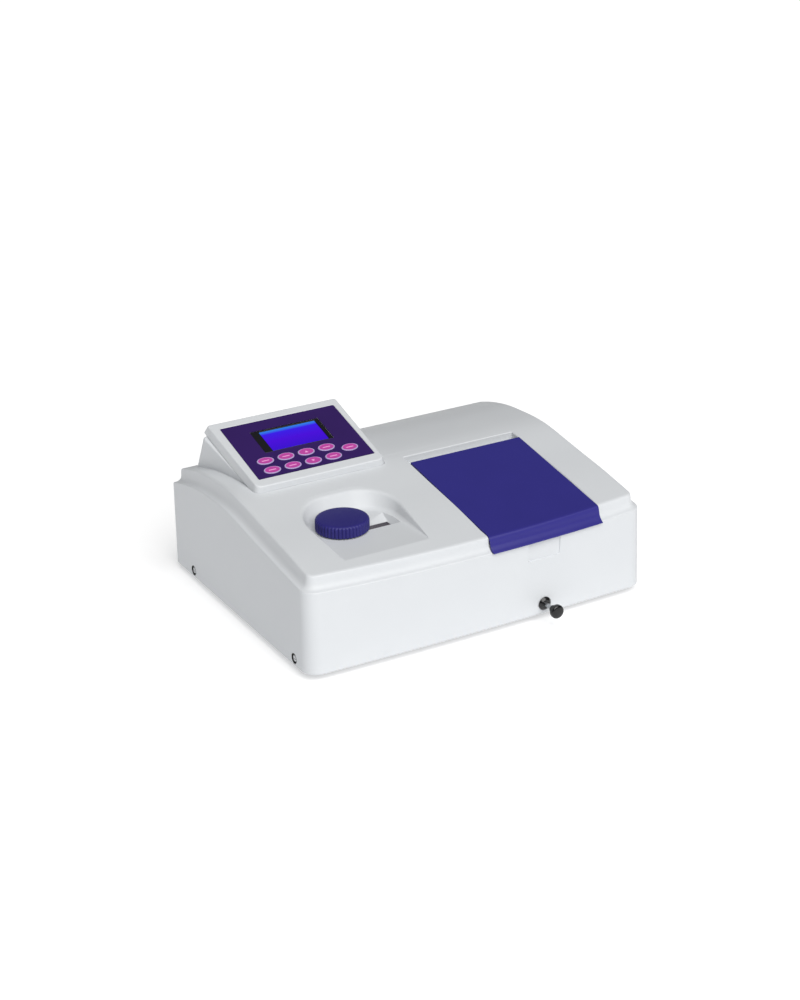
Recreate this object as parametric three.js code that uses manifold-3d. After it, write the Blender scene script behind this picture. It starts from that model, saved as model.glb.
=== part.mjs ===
// Bench-top visible-light spectrophotometer: moulded cover on a steel base tray, a tilted
// keypad console, a wavelength knob with its cam drive, and a lidded cuvette compartment.
// Millimetres, +Z up. The model is laid out from the cover's front left bottom corner
// (x to the right, y to the back) and moved at the end to the middle of its footprint.

import * as THREE from 'three';
import { mergeVertices } from 'three/addons/utils/BufferGeometryUtils.js';
import Module from 'manifold-3d';

const wasm = await Module();
wasm.setup();

// ---------------------------------------------------------------- driving dimensions
const cover = { width: 420, depth: 337.5, wall: 3, draft: 0.017, cornerR: 18, backR: 4 };
const bow = { bottom: 2.9, top: 9.4, full: 91 }; // how far the front bulges, and from where up
const ridge = [ // side profile of the cover's top: distance from the front, height
  [0, 105.8], [60, 117.6], [120, 126.9], [170, 134.9], [198, 137.1],
  [230, 136.2], [265, 133.3], [300, 126.2], [337.5, 114.5],
];
// Shoulder round the top: inset from the wall, share of the drop, fixed part of the drop.
const shoulder = [
  [0, 1, 0], [0.8, 1, -1.2], [3.5, 1, -2.6], [5.8, 1, -5], [7.2, 1, -8.5],
  [7.8, 0, 3.5], [8.6, 0, 1.2], [11, 0, 0],
];
const plateauInset = 12.7;
const drop = { front: 17, sides: 20, blend: 80 };
const gap = 0.3; // clearance between pieces that meet

const slab = { x: 33.6, y: 174, z: 142.9, tilt: 15.4, width: 156.5, length: 125.4, thick: 10.5,
  skin: 5, flare: 2.5, draft: 2.8, frontR: 9, backR: 3.5 };
const overlay = { u: 7.9, v: 12.9, width: 142.7, length: 100.9, thick: 0.4, sunk: 0.8 };
const lcd = { u: 36.4, v: 55.4, width: 84.9, length: 41, glassU: 46.6, glassV: 56.8,
  glassWidth: 69.2, glassLength: 36.8 };
const keys = { u: 29.3, pitch: 25.1, rows: [41.4, 23.8], lone: [129.5, 32.6], width: 20.1,
  length: 12.3, proud: 0.7, deep: 4.4 };

const recess = { floor: 110.5, skin: 3 };
const knob = { x: 92, y: 92, r: 29.2, z0: 112, height: 13, ribs: 44 };
const slot = { x0: 119, x1: 149, y0: 77, y1: 97.5, z: 104.4 };
const dial = { x: 138, y: 107.5, z: 96, thick: 2.5, teeth: 96, module: 0.9 };
const pinionTeeth = 12;
const shaftR = 3;
const grating = { x: 110, y: 128.5, arm: 28, roller: 3, shaftR: 2.5 };
const beam = { z: 56, exitY: 85, entryY: 172 };

const lid = { x0: 217.4, x1: 360.6, y1: 164.5, crease: 106.4, slope: 0.1755, thick: 3, lip: 90.2 };
const well = { back: 180.3, deep: 10.5, x0: 226, x1: 352, y0: 16, y1: 150 };
const hinge = { y: 160.5, z: 129.2, pinR: 1.9, holeR: 2 };
const tub = { x0: 221, x1: 357, y0: 9.5, y1: 160, z0: 2.4, wall: 2 };
const rod = { x: 285.9, z: 12.3, r: 2.5, travel: 60 };
const carriage = { y0: 72, length: 84, width: 30, cuvette: 12.6, first: 85, pitch: 20 };
const foot = { r: 10, height: 8, x: [34, 386], y: [34, 300] };
const front = -31; // the pull rod's knob reaches this far in front of the cover

// ---------------------------------------------------------------- finishes
const finishes = {
  shell: { color: 0xdcdee0, roughness: 0.45, metalness: 0 },
  lidBlue: { color: 0x352f8c, roughness: 0.4, metalness: 0 },
  knobBlue: { color: 0x2f2c7c, roughness: 0.5, metalness: 0 },
  overlayPurple: { color: 0x301a5c, roughness: 0.35, metalness: 0 },
  keyPink: { color: 0xb9479f, roughness: 0.35, metalness: 0 },
  lcdBlue: { color: 0x3a1cf0, roughness: 0.1, metalness: 0 },
  black: { color: 0x111113, roughness: 0.5, metalness: 0 },
  rubber: { color: 0x1c1c1e, roughness: 0.9, metalness: 0 },
  zinc: { color: 0x9a9da0, roughness: 0.4, metalness: 1 },
  steel: { color: 0xb8bbbe, roughness: 0.25, metalness: 1 },
  aluminium: { color: 0xaeb1b4, roughness: 0.35, metalness: 1 },
  castBlack: { color: 0x222326, roughness: 0.7, metalness: 0.2 },
  mirror: { color: 0xe6e8ea, roughness: 0.05, metalness: 1 },
  glass: { color: 0xdfe8ee, roughness: 0.05, metalness: 0 },
  board: { color: 0x1f6b3a, roughness: 0.6, metalness: 0 },
  copper: { color: 0xb0643a, roughness: 0.4, metalness: 0.8 },
};

const model = new THREE.Group();

function toGeometry(piece) {
  if (piece.isBufferGeometry) return piece;
  const mesh = piece.getMesh();
  const geometry = new THREE.BufferGeometry();
  geometry.setAttribute('position', new THREE.BufferAttribute(mesh.vertProperties, 3));
  geometry.setIndex(new THREE.BufferAttribute(mesh.triVerts, 1));
  return geometry;
}

function part(name, finish, piece, parent = model) {
  const mesh = new THREE.Mesh(toGeometry(piece), new THREE.MeshStandardMaterial(finishes[finish]));
  mesh.name = name;
  parent.add(mesh);
  return mesh;
}

// ---------------------------------------------------------------- solids
function solid(geometry) {
  geometry.deleteAttribute('normal');
  geometry.deleteAttribute('uv');
  const merged = mergeVertices(geometry, 1e-5);
  return new wasm.Manifold(new wasm.Mesh({
    numProp: 3,
    vertProperties: new Float32Array(merged.attributes.position.array),
    triVerts: new Uint32Array(merged.index.array),
  }));
}

function box(x0, x1, y0, y1, z0, z1) {
  const geometry = new THREE.BoxGeometry(x1 - x0, y1 - y0, z1 - z0);
  return solid(geometry.translate((x0 + x1) / 2, (y0 + y1) / 2, (z0 + z1) / 2));
}

// A bar of any outline, drawn in x and y, standing from z0 up.
function prism(shape, z0, height, curveSegments = 12) {
  const options = { depth: height, bevelEnabled: false, curveSegments };
  return solid(new THREE.ExtrudeGeometry(shape, options).translate(0, 0, z0));
}

function ring(r, segments) {
  const shape = new THREE.Shape();
  for (let i = 0; i < segments; i++) {
    const a = (i / segments) * Math.PI * 2;
    if (i === 0) shape.moveTo(r, 0);
    else shape.lineTo(r * Math.cos(a), r * Math.sin(a));
  }
  shape.closePath();
  return shape;
}

// A round bar along an axis, from a to b; centre gives the two other coordinates in order.
function bar(axis, centre, r, a, b, segments = 20) {
  const geometry = new THREE.ExtrudeGeometry(ring(r, segments), {
    depth: b - a, bevelEnabled: false,
  }).translate(0, 0, a);
  if (axis === 'x') geometry.rotateY(Math.PI / 2);
  if (axis === 'y') geometry.rotateX(-Math.PI / 2);
  const [p, q] = centre;
  if (axis === 'x') geometry.translate(0, p, q);
  if (axis === 'y') geometry.translate(p, 0, q);
  if (axis === 'z') geometry.translate(p, q, 0);
  return solid(geometry);
}

// A turned piece; its profile of [radius, height] pairs runs from the bottom to the top.
function turned(profile, segments, x, y, z) {
  const points = profile.map(([r, h]) => new THREE.Vector2(r, h));
  const geometry = new THREE.LatheGeometry(points, segments);
  return geometry.rotateX(Math.PI / 2).translate(x, y, z);
}

function roundedRect(x0, x1, y0, y1, r, steps = 5) {
  const points = [];
  const corners = [[x1 - r, y0 + r, -90], [x1 - r, y1 - r, 0], [x0 + r, y1 - r, 90],
    [x0 + r, y0 + r, 180]];
  for (const [cx, cy, start] of corners) {
    for (let i = 0; i <= steps; i++) {
      const a = THREE.MathUtils.degToRad(start + (90 * i) / steps);
      points.push(new THREE.Vector2(cx + r * Math.cos(a), cy + r * Math.sin(a)));
    }
  }
  return points;
}

// The normal of a closed ring of points, by Newell's sum.
function ringNormal(points) {
  const normal = new THREE.Vector3();
  points.forEach((p, i) => {
    const q = points[(i + 1) % points.length];
    normal.x += (p.y - q.y) * (p.z + q.z);
    normal.y += (p.z - q.z) * (p.x + q.x);
    normal.z += (p.x - q.x) * (p.y + q.y);
  });
  return normal;
}

// Triangles that close a ring. A strip joins left and right points of equal y, for rings
// that mirror about x; otherwise the outline is cut into ears in its own plane.
function capTriangles(points, kind) {
  const n = points.length;
  const faces = [];
  if (kind === 'strip') {
    for (let i = 0, j = n - 1; i + 1 < j; i++, j--) {
      faces.push([i, i + 1, j]);
      if (i + 1 < j - 1) faces.push([i + 1, j - 1, j]);
    }
    return faces;
  }
  const normal = ringNormal(points);
  const size = normal.toArray().map(Math.abs);
  const drop = size.indexOf(Math.max(...size));
  const [a, b] = [[1, 2], [2, 0], [0, 1]][drop];
  const flat = points.map((p) => new THREE.Vector2(p.getComponent(a), p.getComponent(b)));
  const sign = Math.sign(normal.getComponent(drop));
  for (const [i, j, k] of THREE.ShapeUtils.triangulateShape(flat, [])) {
    const area = (flat[j].x - flat[i].x) * (flat[k].y - flat[i].y)
      - (flat[k].x - flat[i].x) * (flat[j].y - flat[i].y);
    faces.push(area * sign > 0 ? [i, j, k] : [i, k, j]);
  }
  return faces;
}

// A closed solid through a row of rings with equal numbers of points.
function loft(rings, cap = 'ears') {
  const n = rings[0].length;
  const last = (rings.length - 1) * n;
  const index = [];
  for (let k = 0; k + 1 < rings.length; k++) {
    for (let i = 0; i < n; i++) {
      const j = (i + 1) % n;
      const [a, b, c, d] = [k * n + i, k * n + j, (k + 1) * n + j, (k + 1) * n + i];
      index.push(a, b, c, a, c, d);
    }
  }
  for (const [i, j, k] of capTriangles(rings[0], cap)) index.push(i, k, j);
  for (const [i, j, k] of capTriangles(rings.at(-1), cap)) index.push(last + i, last + j, last + k);
  const points = rings.flat();
  let volume = 0;
  for (let t = 0; t < index.length; t += 3) {
    const [p, q, r] = [points[index[t]], points[index[t + 1]], points[index[t + 2]]];
    volume += p.dot(q.clone().cross(r));
  }
  if (volume < 0) index.reverse();
  const geometry = new THREE.BufferGeometry().setFromPoints(points);
  geometry.setIndex(index);
  return solid(geometry);
}

// ---------------------------------------------------------------- cover surface
const ridgePoints = new THREE.SplineCurve(ridge.map(([y, z]) => new THREE.Vector2(y, z)))
  .getPoints(160);

function topZ(y) {
  const i = Math.max(1, ridgePoints.findIndex((p) => p.x >= y));
  const [p, q] = y > cover.depth ? ridgePoints.slice(-2) : [ridgePoints[i - 1], ridgePoints[i]];
  return p.y + ((y - p.x) / (q.x - p.x)) * (q.y - p.y);
}

function bowAt(x, z) {
  const depth = THREE.MathUtils.lerp(bow.bottom, bow.top, Math.min(1, z / bow.full));
  const t = (x - cover.width / 2) / (cover.width / 2 - cover.cornerR);
  return depth * (1 - Math.min(1, t * t));
}

// Left half of the cover's plan outline from the middle of the front to the middle of the
// back, then its mirror image, as [x, y] pairs. Every ring has the same number of points.
function outline(inset, bulge, frontSteps = 8, sideSteps = 15) {
  const half = cover.width / 2;
  const R = Math.max(cover.cornerR - inset, 5);
  const Rb = Math.max(cover.backR - inset, 1.5);
  const lean = Math.atan((2 * bulge) / (half - inset - R));
  const endX = inset + R - R * Math.sin(lean);
  const centre = [inset + R, inset + R * Math.cos(lean)];
  const left = [];
  for (let i = 0; i < frontSteps; i++) {
    const t = i / frontSteps;
    left.push([half - t * (half - endX), inset - bulge * (1 - t * t)]);
  }
  for (let i = 0; i <= 6; i++) {
    const a = Math.PI / 2 + lean + (i / 6) * (Math.PI / 2 - lean);
    left.push([centre[0] - R * Math.sin(a - Math.PI / 2), centre[1] - R * Math.cos(a - Math.PI / 2)]);
  }
  const backY = cover.depth - inset - Rb;
  for (let i = 1; i < sideSteps; i++) {
    left.push([inset, centre[1] + ((backY - centre[1]) * i) / sideSteps]);
  }
  for (let i = 0; i <= 2; i++) {
    const a = (i / 2) * (Math.PI / 2);
    left.push([inset + Rb - Rb * Math.cos(a), backY + Rb * Math.sin(a)]);
  }
  const right = left.slice(1).reverse().map(([x, y]) => [cover.width - x, y]);
  return [...left, ...right];
}

// The rings start with the middle front point; a strip cap needs pairs, so the first ring
// point is doubled apart by a hair's breadth on each side of the middle.
function paired(points) {
  const [[x, y], ...rest] = points;
  return [[x - 0.5, y], ...rest, [x + 0.5, y]];
}

function coverSolid(inner) {
  const wall = inner ? cover.wall : 0;
  const plateau = paired(outline(plateauInset + wall, bow.top));
  const ringAt = (inset, bulge, height) => paired(outline(inset, bulge))
    .map(([x, y], i) => new THREE.Vector3(x, y, height(plateau[i][1])));
  const rings = [ringAt(wall, bow.bottom, () => (inner ? -1 : 0))];
  const fall = (y) => THREE.MathUtils.lerp(drop.front, drop.sides,
    THREE.MathUtils.smoothstep(y, 0, drop.blend));
  for (const [inset, share, fixed] of inner ? shoulder.filter((_, i) => i % 2) : shoulder) {
    const height = (y) => topZ(y) - share * fall(y) - fixed - wall;
    rings.push(ringAt(inset + wall + cover.draft * bow.full, bow.top, height));
  }
  return loft(rings, 'strip');
}

// ---------------------------------------------------------------- console frame
const tilt = THREE.MathUtils.degToRad(slab.tilt);
const consoleGroup = new THREE.Group();
consoleGroup.position.set(slab.x, slab.y, slab.z);
consoleGroup.rotation.x = tilt;
model.add(consoleGroup);
consoleGroup.updateMatrix();

const onConsole = (u, v, w) => new THREE.Vector3(u, v, w).applyMatrix4(consoleGroup.matrix);

function roundedQuad(corners, radii, steps = 4) {
  const points = [];
  corners.forEach((corner, i) => {
    const before = corners.at(i - 1).clone().sub(corner).normalize();
    const after = corners[(i + 1) % 4].clone().sub(corner).normalize();
    const start = corner.clone().addScaledVector(before, radii[i]);
    const end = corner.clone().addScaledVector(after, radii[i]);
    points.push(...new THREE.QuadraticBezierCurve3(start, corner, end).getPoints(steps));
  });
  return points;
}

// Which way each corner of a quad moves when the quad grows, from front left round.
const outwards = [[-1, -1], [1, -1], [1, 1], [-1, 1]];

// The outline of the console slab at a height in its own frame, grown by so much.
function slabRing(w, grow) {
  const corners = [[0, 0], [slab.width, 0], [slab.width + slab.flare, slab.length],
    [-slab.flare, slab.length]];
  const radii = [slab.frontR, slab.frontR, slab.backR, slab.backR];
  return roundedQuad(corners.map(([u, v], i) => new THREE.Vector3(u + outwards[i][0] * grow,
    v + outwards[i][1] * grow, w)), radii);
}

// The pedestal under the console: its top follows the console's underside, it widens to the
// back, and it runs down into the cover. grow moves every wall out, so a negative one gives
// the hollow inside.
function pedestal(grow) {
  const w = -slab.thick - gap + (grow < 0 ? -cover.wall : 0);
  const top = [[0.8, -1], [155.7, -1], [167, 121.4], [-10.5, 121.4]].map(([u, v], i) => onConsole(
    u + outwards[i][0] * grow, v + outwards[i][1] * grow, w));
  const low = [[28, 168], [195.5, 168], [204, 318], [20, 318]].map(([x, y], i) => new THREE.Vector3(
    x + outwards[i][0] * grow, y + outwards[i][1] * grow, 108));
  const radii = Array(4).fill(7 + grow);
  return loft([roundedQuad(low, radii), roundedQuad(top, radii)]);
}

// ---------------------------------------------------------------- knob recess
function bowl(grow, bottom) {
  const at = (x0, x1, y0, y1, r, z) => roundedRect(x0 - grow, x1 + grow, y0, y1 + grow, r + grow, 10)
    .map((p) => new THREE.Vector3(p.x, p.y, z));
  const straight = (points, r) => points.map((p) => new THREE.Vector3(p.x,
    p.y < 5 + r + grow ? THREE.MathUtils.lerp(p.y, 5, 0.8) : p.y, p.z));
  return loft([
    straight(at(57, 158.5, 5, 128, 36, recess.floor + bottom), 36),
    straight(at(52.5, 166, 5, 139, 43, 126), 43),
    straight(at(48, 171.5, 5, 146, 47, 142), 47),
  ]);
}

function pocket() {
  const at = (x0, x1, y0, y1, z) => [[x0, y0], [x1, y0], [x1, y1], [x0, y1]]
    .map(([x, y]) => new THREE.Vector3(x, y, z));
  return loft([at(slot.x0, slot.x1, slot.y0, slot.y1, slot.z),
    at(104, 154, 76, 109.5, recess.floor + 0.3)]);
}

// ---------------------------------------------------------------- lid and its seat
const lidTop = (y) => lid.crease + lid.slope * y;

// A solid swept along x through cross-sections in y and z whose front follows the bow.
function sweepX(x0, x1, section, steps = 10) {
  const rings = [];
  for (let i = 0; i <= steps; i++) {
    const x = THREE.MathUtils.lerp(x0, x1, i / steps);
    rings.push(section(bowAt(x, bow.full)).map(([y, z]) => new THREE.Vector3(x, y, z)));
  }
  return loft(rings);
}

// The underside of the lid, from the bottom of its lip to its back edge, moved in by a depth.
const seatCurve = (b, depth) => [
  [1.6 - b, lid.lip - 0.8], [6.5 - b + depth * 0.3, lid.lip + 3], [9.5 - b, lidTop(9.5 - b) - depth],
  [well.back, lidTop(well.back) - depth],
];

const seatCut = sweepX(lid.x0 - 0.4, lid.x1 + 0.4, (b) => [
  [-20, lid.lip - 0.8], ...seatCurve(b, well.deep), [well.back, 160], [-20, 160],
]);
const seatSkin = sweepX(lid.x0 - 3.4, lid.x1 + 3.4, (b) => {
  const [, p, q] = seatCurve(b, well.deep);
  const back = well.back + cover.wall;
  return [[p[0] - 4, lid.lip - 4], [p[0] + 2.5, lid.lip + 0.5], [q[0] + 3, q[1] - 3.2],
    [back, lidTop(back) - well.deep - 3], [back, 160], [p[0] - 4, 160]];
});

// ---------------------------------------------------------------- cover
const outer = coverSolid(false).add(pedestal(0));
const inner = coverSolid(true).add(pedestal(-cover.wall));
const bowlSkin = bowl(recess.skin, -recess.skin).add(box(100, 164, 72, 114, slot.z - 3, 112));
const slabSeat = loft([[-slab.thick - gap, slab.draft + gap], [2, gap]].map(([w, grow]) => slabRing(
  w, grow).map((p) => onConsole(p.x, p.y, p.z))));
const consoleOpening = loft([-30, 5].map((w) => [[5, 4], [151.5, 4], [151.5, 112], [5, 112]]
  .map(([u, v]) => onConsole(u, v, w))));

const rearOpening = { x0: 238, x1: 402, z0: 12, z1: 84 };
const screwSpots = [33.8, 287.9].flatMap((y) => [0, 1].map((side) => ({ y, side })));
const screwZ = 7.9;

let topCover = outer.subtract(inner)
  .add(bowlSkin.intersect(outer))
  .add(seatSkin.intersect(outer))
  .subtract(bowl(0, 0))
  .subtract(pocket())
  .subtract(box(slot.x0, slot.x1, slot.y0, slot.y1, slot.z - 8, slot.z + 2))
  .subtract(bar('z', [knob.x, knob.y], shaftR + 0.6, 100, 115))
  .subtract(seatCut)
  .subtract(box(well.x0, well.x1, well.y0, well.y1, 85, 140))
  .subtract(bar('x', [hinge.y, hinge.z], hinge.pinR + 0.05, 205, 375))
  .subtract(consoleOpening)
  .subtract(slabSeat)
  .subtract(box(rearOpening.x0, rearOpening.x1, cover.depth - 12, cover.depth + 4,
    rearOpening.z0, rearOpening.z1))
  .subtract(bar('y', [rod.x, rod.z], 5.3, -20, 12));
// Finger recess in the front wall under the lid's lip.
topCover = topCover.subtract(loft([-14, bowAt(284, 60) * -1 + 2].map((y, i) => roundedRect(
  262 + i * 2, 306 - i * 2, 66 + i * 2, 95, 3).map((p) => new THREE.Vector3(p.x, y, p.y)))));
for (const { y, side } of screwSpots) {
  const x = side * cover.width;
  topCover = topCover.subtract(bar('x', [y, screwZ], 6, x - (side ? 2.1 : 1), x + (side ? 1 : 2.1)))
    .subtract(bar('x', [y, screwZ], 1.9, x - 6, x + 6));
}
part('top_cover', 'shell', topCover);

// ---------------------------------------------------------------- base tray, feet, screws
const trayRing = (inset, z) => paired(outline(inset, bow.bottom, 6, 3))
  .map(([x, y]) => new THREE.Vector3(x, y, z));
const traySheet = 1.5;
const trayInset = cover.wall + 0.6;
let tray = loft([trayRing(trayInset, 0), trayRing(trayInset, 14)], 'strip')
  .subtract(loft([trayRing(trayInset + traySheet, traySheet),
    trayRing(trayInset + traySheet, 20)], 'strip'))
  .subtract(bar('y', [rod.x, rod.z], 5.3, -20, 7));
for (const { y, side } of screwSpots) {
  const x = side * cover.width;
  tray = tray.subtract(bar('x', [y, screwZ], 1.9, x - 9, x + 9));
}
const footSpots = foot.x.flatMap((x) => foot.y.map((y) => [x, y]));
for (const spot of footSpots) tray = tray.subtract(bar('z', spot, 2.2, -1, 3, 12));
part('base_tray', 'zinc', tray);

footSpots.forEach(([x, y], i) => {
  part(`foot_${i + 1}`, 'rubber', turned([[0, -foot.height], [7.8, -foot.height],
    [8.6, 1.2 - foot.height], [foot.r, -2.2], [foot.r, -gap], [2, -gap], [2, 6.5], [0, 6.5]],
  24, x, y, 0));
});
screwSpots.forEach(({ y, side }, i) => {
  const turn = side ? -1 : 1;
  const screw = turned([[0, 0], [2.4, 0], [3.4, 0.4], [3.8, 1.1], [5.7, 1.1], [5.7, 1.6],
    [1.6, 1.6], [1.6, 8], [0, 8]], 20, 0, 0, 0);
  const driven = solid(screw).subtract(box(-2.6, 2.6, -0.35, 0.35, -1, 0.6));
  const mesh = part(`cover_screw_${i + 1}`, 'black', driven);
  mesh.position.set(side * cover.width + turn * 0.4, y, screwZ);
  mesh.rotation.y = (turn * Math.PI) / 2;
});

// ---------------------------------------------------------------- rear panel and sockets
const panelY = cover.depth - 9;
let panel = box(230, 410, panelY, panelY + 1.5, 3, 92);
const inlet = { x: 372, z: 40, width: 27, height: 20 };
const rocker = { x: 326, z: 40, width: 12, height: 20, tip: 10 };
const fuse = { x: 349, z: 66, r: 6 };
const port = { x: 275, z: 34, width: 26, height: 10 };
const cutRect = (c, grow) => box(c.x - c.width / 2 - grow, c.x + c.width / 2 + grow,
  panelY - 2, panelY + 3, c.z - c.height / 2 - grow, c.z + c.height / 2 + grow);
panel = panel.subtract(cutRect(inlet, gap)).subtract(cutRect(rocker, 1.2))
  .subtract(bar('y', [fuse.x, fuse.z], fuse.r + gap, panelY - 2, panelY + 3))
  .subtract(cutRect(port, gap));
for (let i = 0; i < 6; i++) {
  panel = panel.subtract(box(250, 306, panelY - 2, panelY + 3, 52 + i * 4.5, 54.2 + i * 4.5));
}
part('rear_panel', 'aluminium', panel);

const plate = (c, side, y) => box(c.x - c.width / 2 - side, c.x + c.width / 2 + side, y, y + 2,
  c.z - c.height / 2 - side, c.z + c.height / 2 + side);
let powerInlet = box(inlet.x - 13.5, inlet.x + 13.5, panelY - 18, panelY + 2.5, 30, 50)
  .add(plate(inlet, 3, panelY + 1.8))
  .subtract(box(inlet.x - 11.5, inlet.x + 11.5, panelY - 12, panelY + 6, 32, 48));
for (const [dx, dz] of [[-7, -2], [0, 2], [7, -2]]) {
  powerInlet = powerInlet.add(box(inlet.x + dx - 1, inlet.x + dx + 1, panelY - 13, panelY - 1,
    40 + dz - 2, 40 + dz + 2));
}
part('power_inlet', 'black', powerInlet);

const switchFrame = box(rocker.x - 7, rocker.x + 7, panelY - 14, panelY + 1.8, 29, 51)
  .add(plate(rocker, 3, panelY + 1.8))
  .subtract(box(rocker.x - 5.2, rocker.x + 5.2, panelY - 9, panelY + 6, 31, 49));
part('switch_frame', 'black', switchFrame);
// The rocker's curved face: a bow-tie section along x, tipped to its off side.
const rockerSection = [[-5, -3], [0.4, -8.4], [3.2, -8], [1.2, 0], [3.2, 8], [0.4, 8.4], [-5, 3]];
const rockerMesh = part('power_switch', 'black', loft([-4.8, 4.8].map((x) => rockerSection
  .map(([y, z]) => new THREE.Vector3(x, y, z)))));
rockerMesh.position.set(rocker.x, panelY - 1, rocker.z);
rockerMesh.rotation.x = THREE.MathUtils.degToRad(-rocker.tip);

part('fuse_holder', 'black', bar('y', [fuse.x, fuse.z], fuse.r, panelY - 26, panelY + 1.8)
  .add(bar('y', [fuse.x, fuse.z], fuse.r + 2, panelY + 1.8, panelY + 6))
  .subtract(box(fuse.x - 4, fuse.x + 4, panelY + 4.8, panelY + 8, fuse.z - 0.6, fuse.z + 0.6)));
part('data_port', 'steel', box(port.x - 13, port.x + 13, panelY - 8, panelY + 6, 29, 39)
  .subtract(box(port.x - 11.5, port.x + 11.5, panelY - 2, panelY + 8, 30.5, 37.5))
  .add(plate(port, 2, panelY + 1.8).subtract(box(port.x - 11.5, port.x + 11.5,
    panelY, panelY + 8, 30.5, 37.5))));

// ---------------------------------------------------------------- console pieces
const ellipse = (u, v, grow) => new THREE.Shape().absellipse(u, v, keys.width / 2 + grow,
  keys.length / 2 + grow, 0, Math.PI * 2, false, 0);
const keySpots = [];
for (const v of keys.rows) {
  for (let i = 0; i < 4; i++) keySpots.push([keys.u + i * keys.pitch, v]);
}
keySpots.push(keys.lone);

const slabEdge = [[-slab.thick, slab.draft], [-2, 0.5], [-0.6, -0.1], [0, -1.5]];
let bezel = loft(slabEdge.map(([w, grow]) => slabRing(w, grow)))
  .subtract(box(7, 149.5, 6, 119, -slab.thick - 2, -slab.skin));
const plan = (o, grow, w0, w1) => prism(new THREE.Shape(roundedRect(o.u - grow,
  o.u + o.width + grow, o.v - grow, o.v + o.length + grow, 1.5, 2)), w0, w1 - w0);
bezel = bezel.subtract(plan(overlay, gap, -overlay.sunk, 1)).subtract(plan(lcd, gap, -9, 1));
let film = plan(overlay, 0, -overlay.thick - 0.1, -0.1).subtract(plan(lcd, gap, -9, 1));
for (const [u, v] of keySpots) {
  const hole = prism(ellipse(u, v, gap), -9, 12, 10);
  bezel = bezel.subtract(hole);
  film = film.subtract(hole);
}
part('console_bezel', 'shell', bezel, consoleGroup);
part('keypad_overlay', 'overlayPurple', film, consoleGroup);

const glass = { u: lcd.glassU, v: lcd.glassV, width: lcd.glassWidth, length: lcd.glassLength };
part('lcd_frame', 'black', plan(lcd, 0, -4, -0.2).subtract(plan(glass, gap, -9, 1)), consoleGroup);
part('lcd_glass', 'lcdBlue', plan(glass, 0, -3.6, -0.8), consoleGroup);
part('keypad_board', 'board', box(9, 148, 8, 108, -7.6, -6)
  .add(box(lcd.u + 2, lcd.u + lcd.width - 2, lcd.v + 2, lcd.v + lcd.length - 2, -6, -4.4)),
consoleGroup);
keySpots.forEach(([u, v], i) => {
  const steps = [[0, -keys.deep], [0, keys.proud - 0.4], [1, keys.proud]];
  const points = (by) => Array.from({ length: 18 }, (_, k) => {
    const a = (k / 18) * Math.PI * 2;
    return [(keys.width / 2 - by) * Math.cos(a), (keys.length / 2 - by) * Math.sin(a)];
  });
  const cap = loft(steps.map(([by, w]) => points(by)
    .map(([x, y]) => new THREE.Vector3(u + x, v + y, w))));
  part(`key_${i + 1}`, 'keyPink', cap, consoleGroup);
});

// ---------------------------------------------------------------- wavelength drive
// Straight-sided gear teeth, thinned so that a pair runs with backlash.
function gearShape(teeth, module, turn = 0) {
  const pitchR = (teeth * module) / 2;
  const shape = new THREE.Shape();
  const corners = [[-0.34, -1.15], [-0.13, 0.72], [0.13, 0.72], [0.34, -1.15]];
  for (let i = 0; i < teeth; i++) {
    corners.forEach(([share, height], k) => {
      const a = ((i + share * 0.86) / teeth) * Math.PI * 2 + turn;
      const r = pitchR + height * module;
      if (i === 0 && k === 0) shape.moveTo(r * Math.cos(a), r * Math.sin(a));
      else shape.lineTo(r * Math.cos(a), r * Math.sin(a));
    });
  }
  shape.closePath();
  return shape;
}

const meshAngle = Math.atan2(dial.y - knob.y, dial.x - knob.x);
const knobMesh = (() => {
  const steps = knob.ribs * 2;
  const at = (grow, z, ribDepth) => Array.from({ length: steps }, (_, i) => {
    const a = (i / steps) * Math.PI * 2;
    const r = knob.r + grow - (i % 2 ? 0 : ribDepth);
    return new THREE.Vector3(knob.x + r * Math.cos(a), knob.y + r * Math.sin(a), z);
  });
  const z1 = knob.z0 + knob.height;
  const body = loft([at(0, knob.z0, 0.9), at(0, z1 - 2.2, 0.9), at(-2.4, z1, 0)]);
  return body.subtract(bar('z', [knob.x, knob.y], knob.r - 4, knob.z0 - 1, knob.z0 + 8))
    .add(bar('z', [knob.x, knob.y], 8, knob.z0, knob.z0 + 9))
    .subtract(bar('z', [knob.x, knob.y], shaftR + 0.05, knob.z0 - 2, knob.z0 + 7));
})();
part('wavelength_knob', 'knobBlue', knobMesh);

const pinion = solid(new THREE.ExtrudeGeometry(gearShape(pinionTeeth, dial.module,
  meshAngle), { depth: 5, bevelEnabled: false }).translate(knob.x, knob.y, dial.z - 1.5));
part('knob_shaft', 'steel', bar('z', [knob.x, knob.y], shaftR, 82, knob.z0 + 6.6).add(pinion));

const dialTurn = meshAngle + Math.PI + Math.PI / dial.teeth;
const dialDisc = solid(new THREE.ExtrudeGeometry(gearShape(dial.teeth, dial.module, dialTurn),
  { depth: dial.thick, bevelEnabled: false }).translate(dial.x, dial.y, dial.z))
  .add(bar('z', [dial.x, dial.y], 7, dial.z - 3, dial.z + 1))
  .subtract(bar('z', [dial.x, dial.y], shaftR + 0.05, 80, 110));
part('wavelength_dial', 'aluminium', dialDisc);

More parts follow.
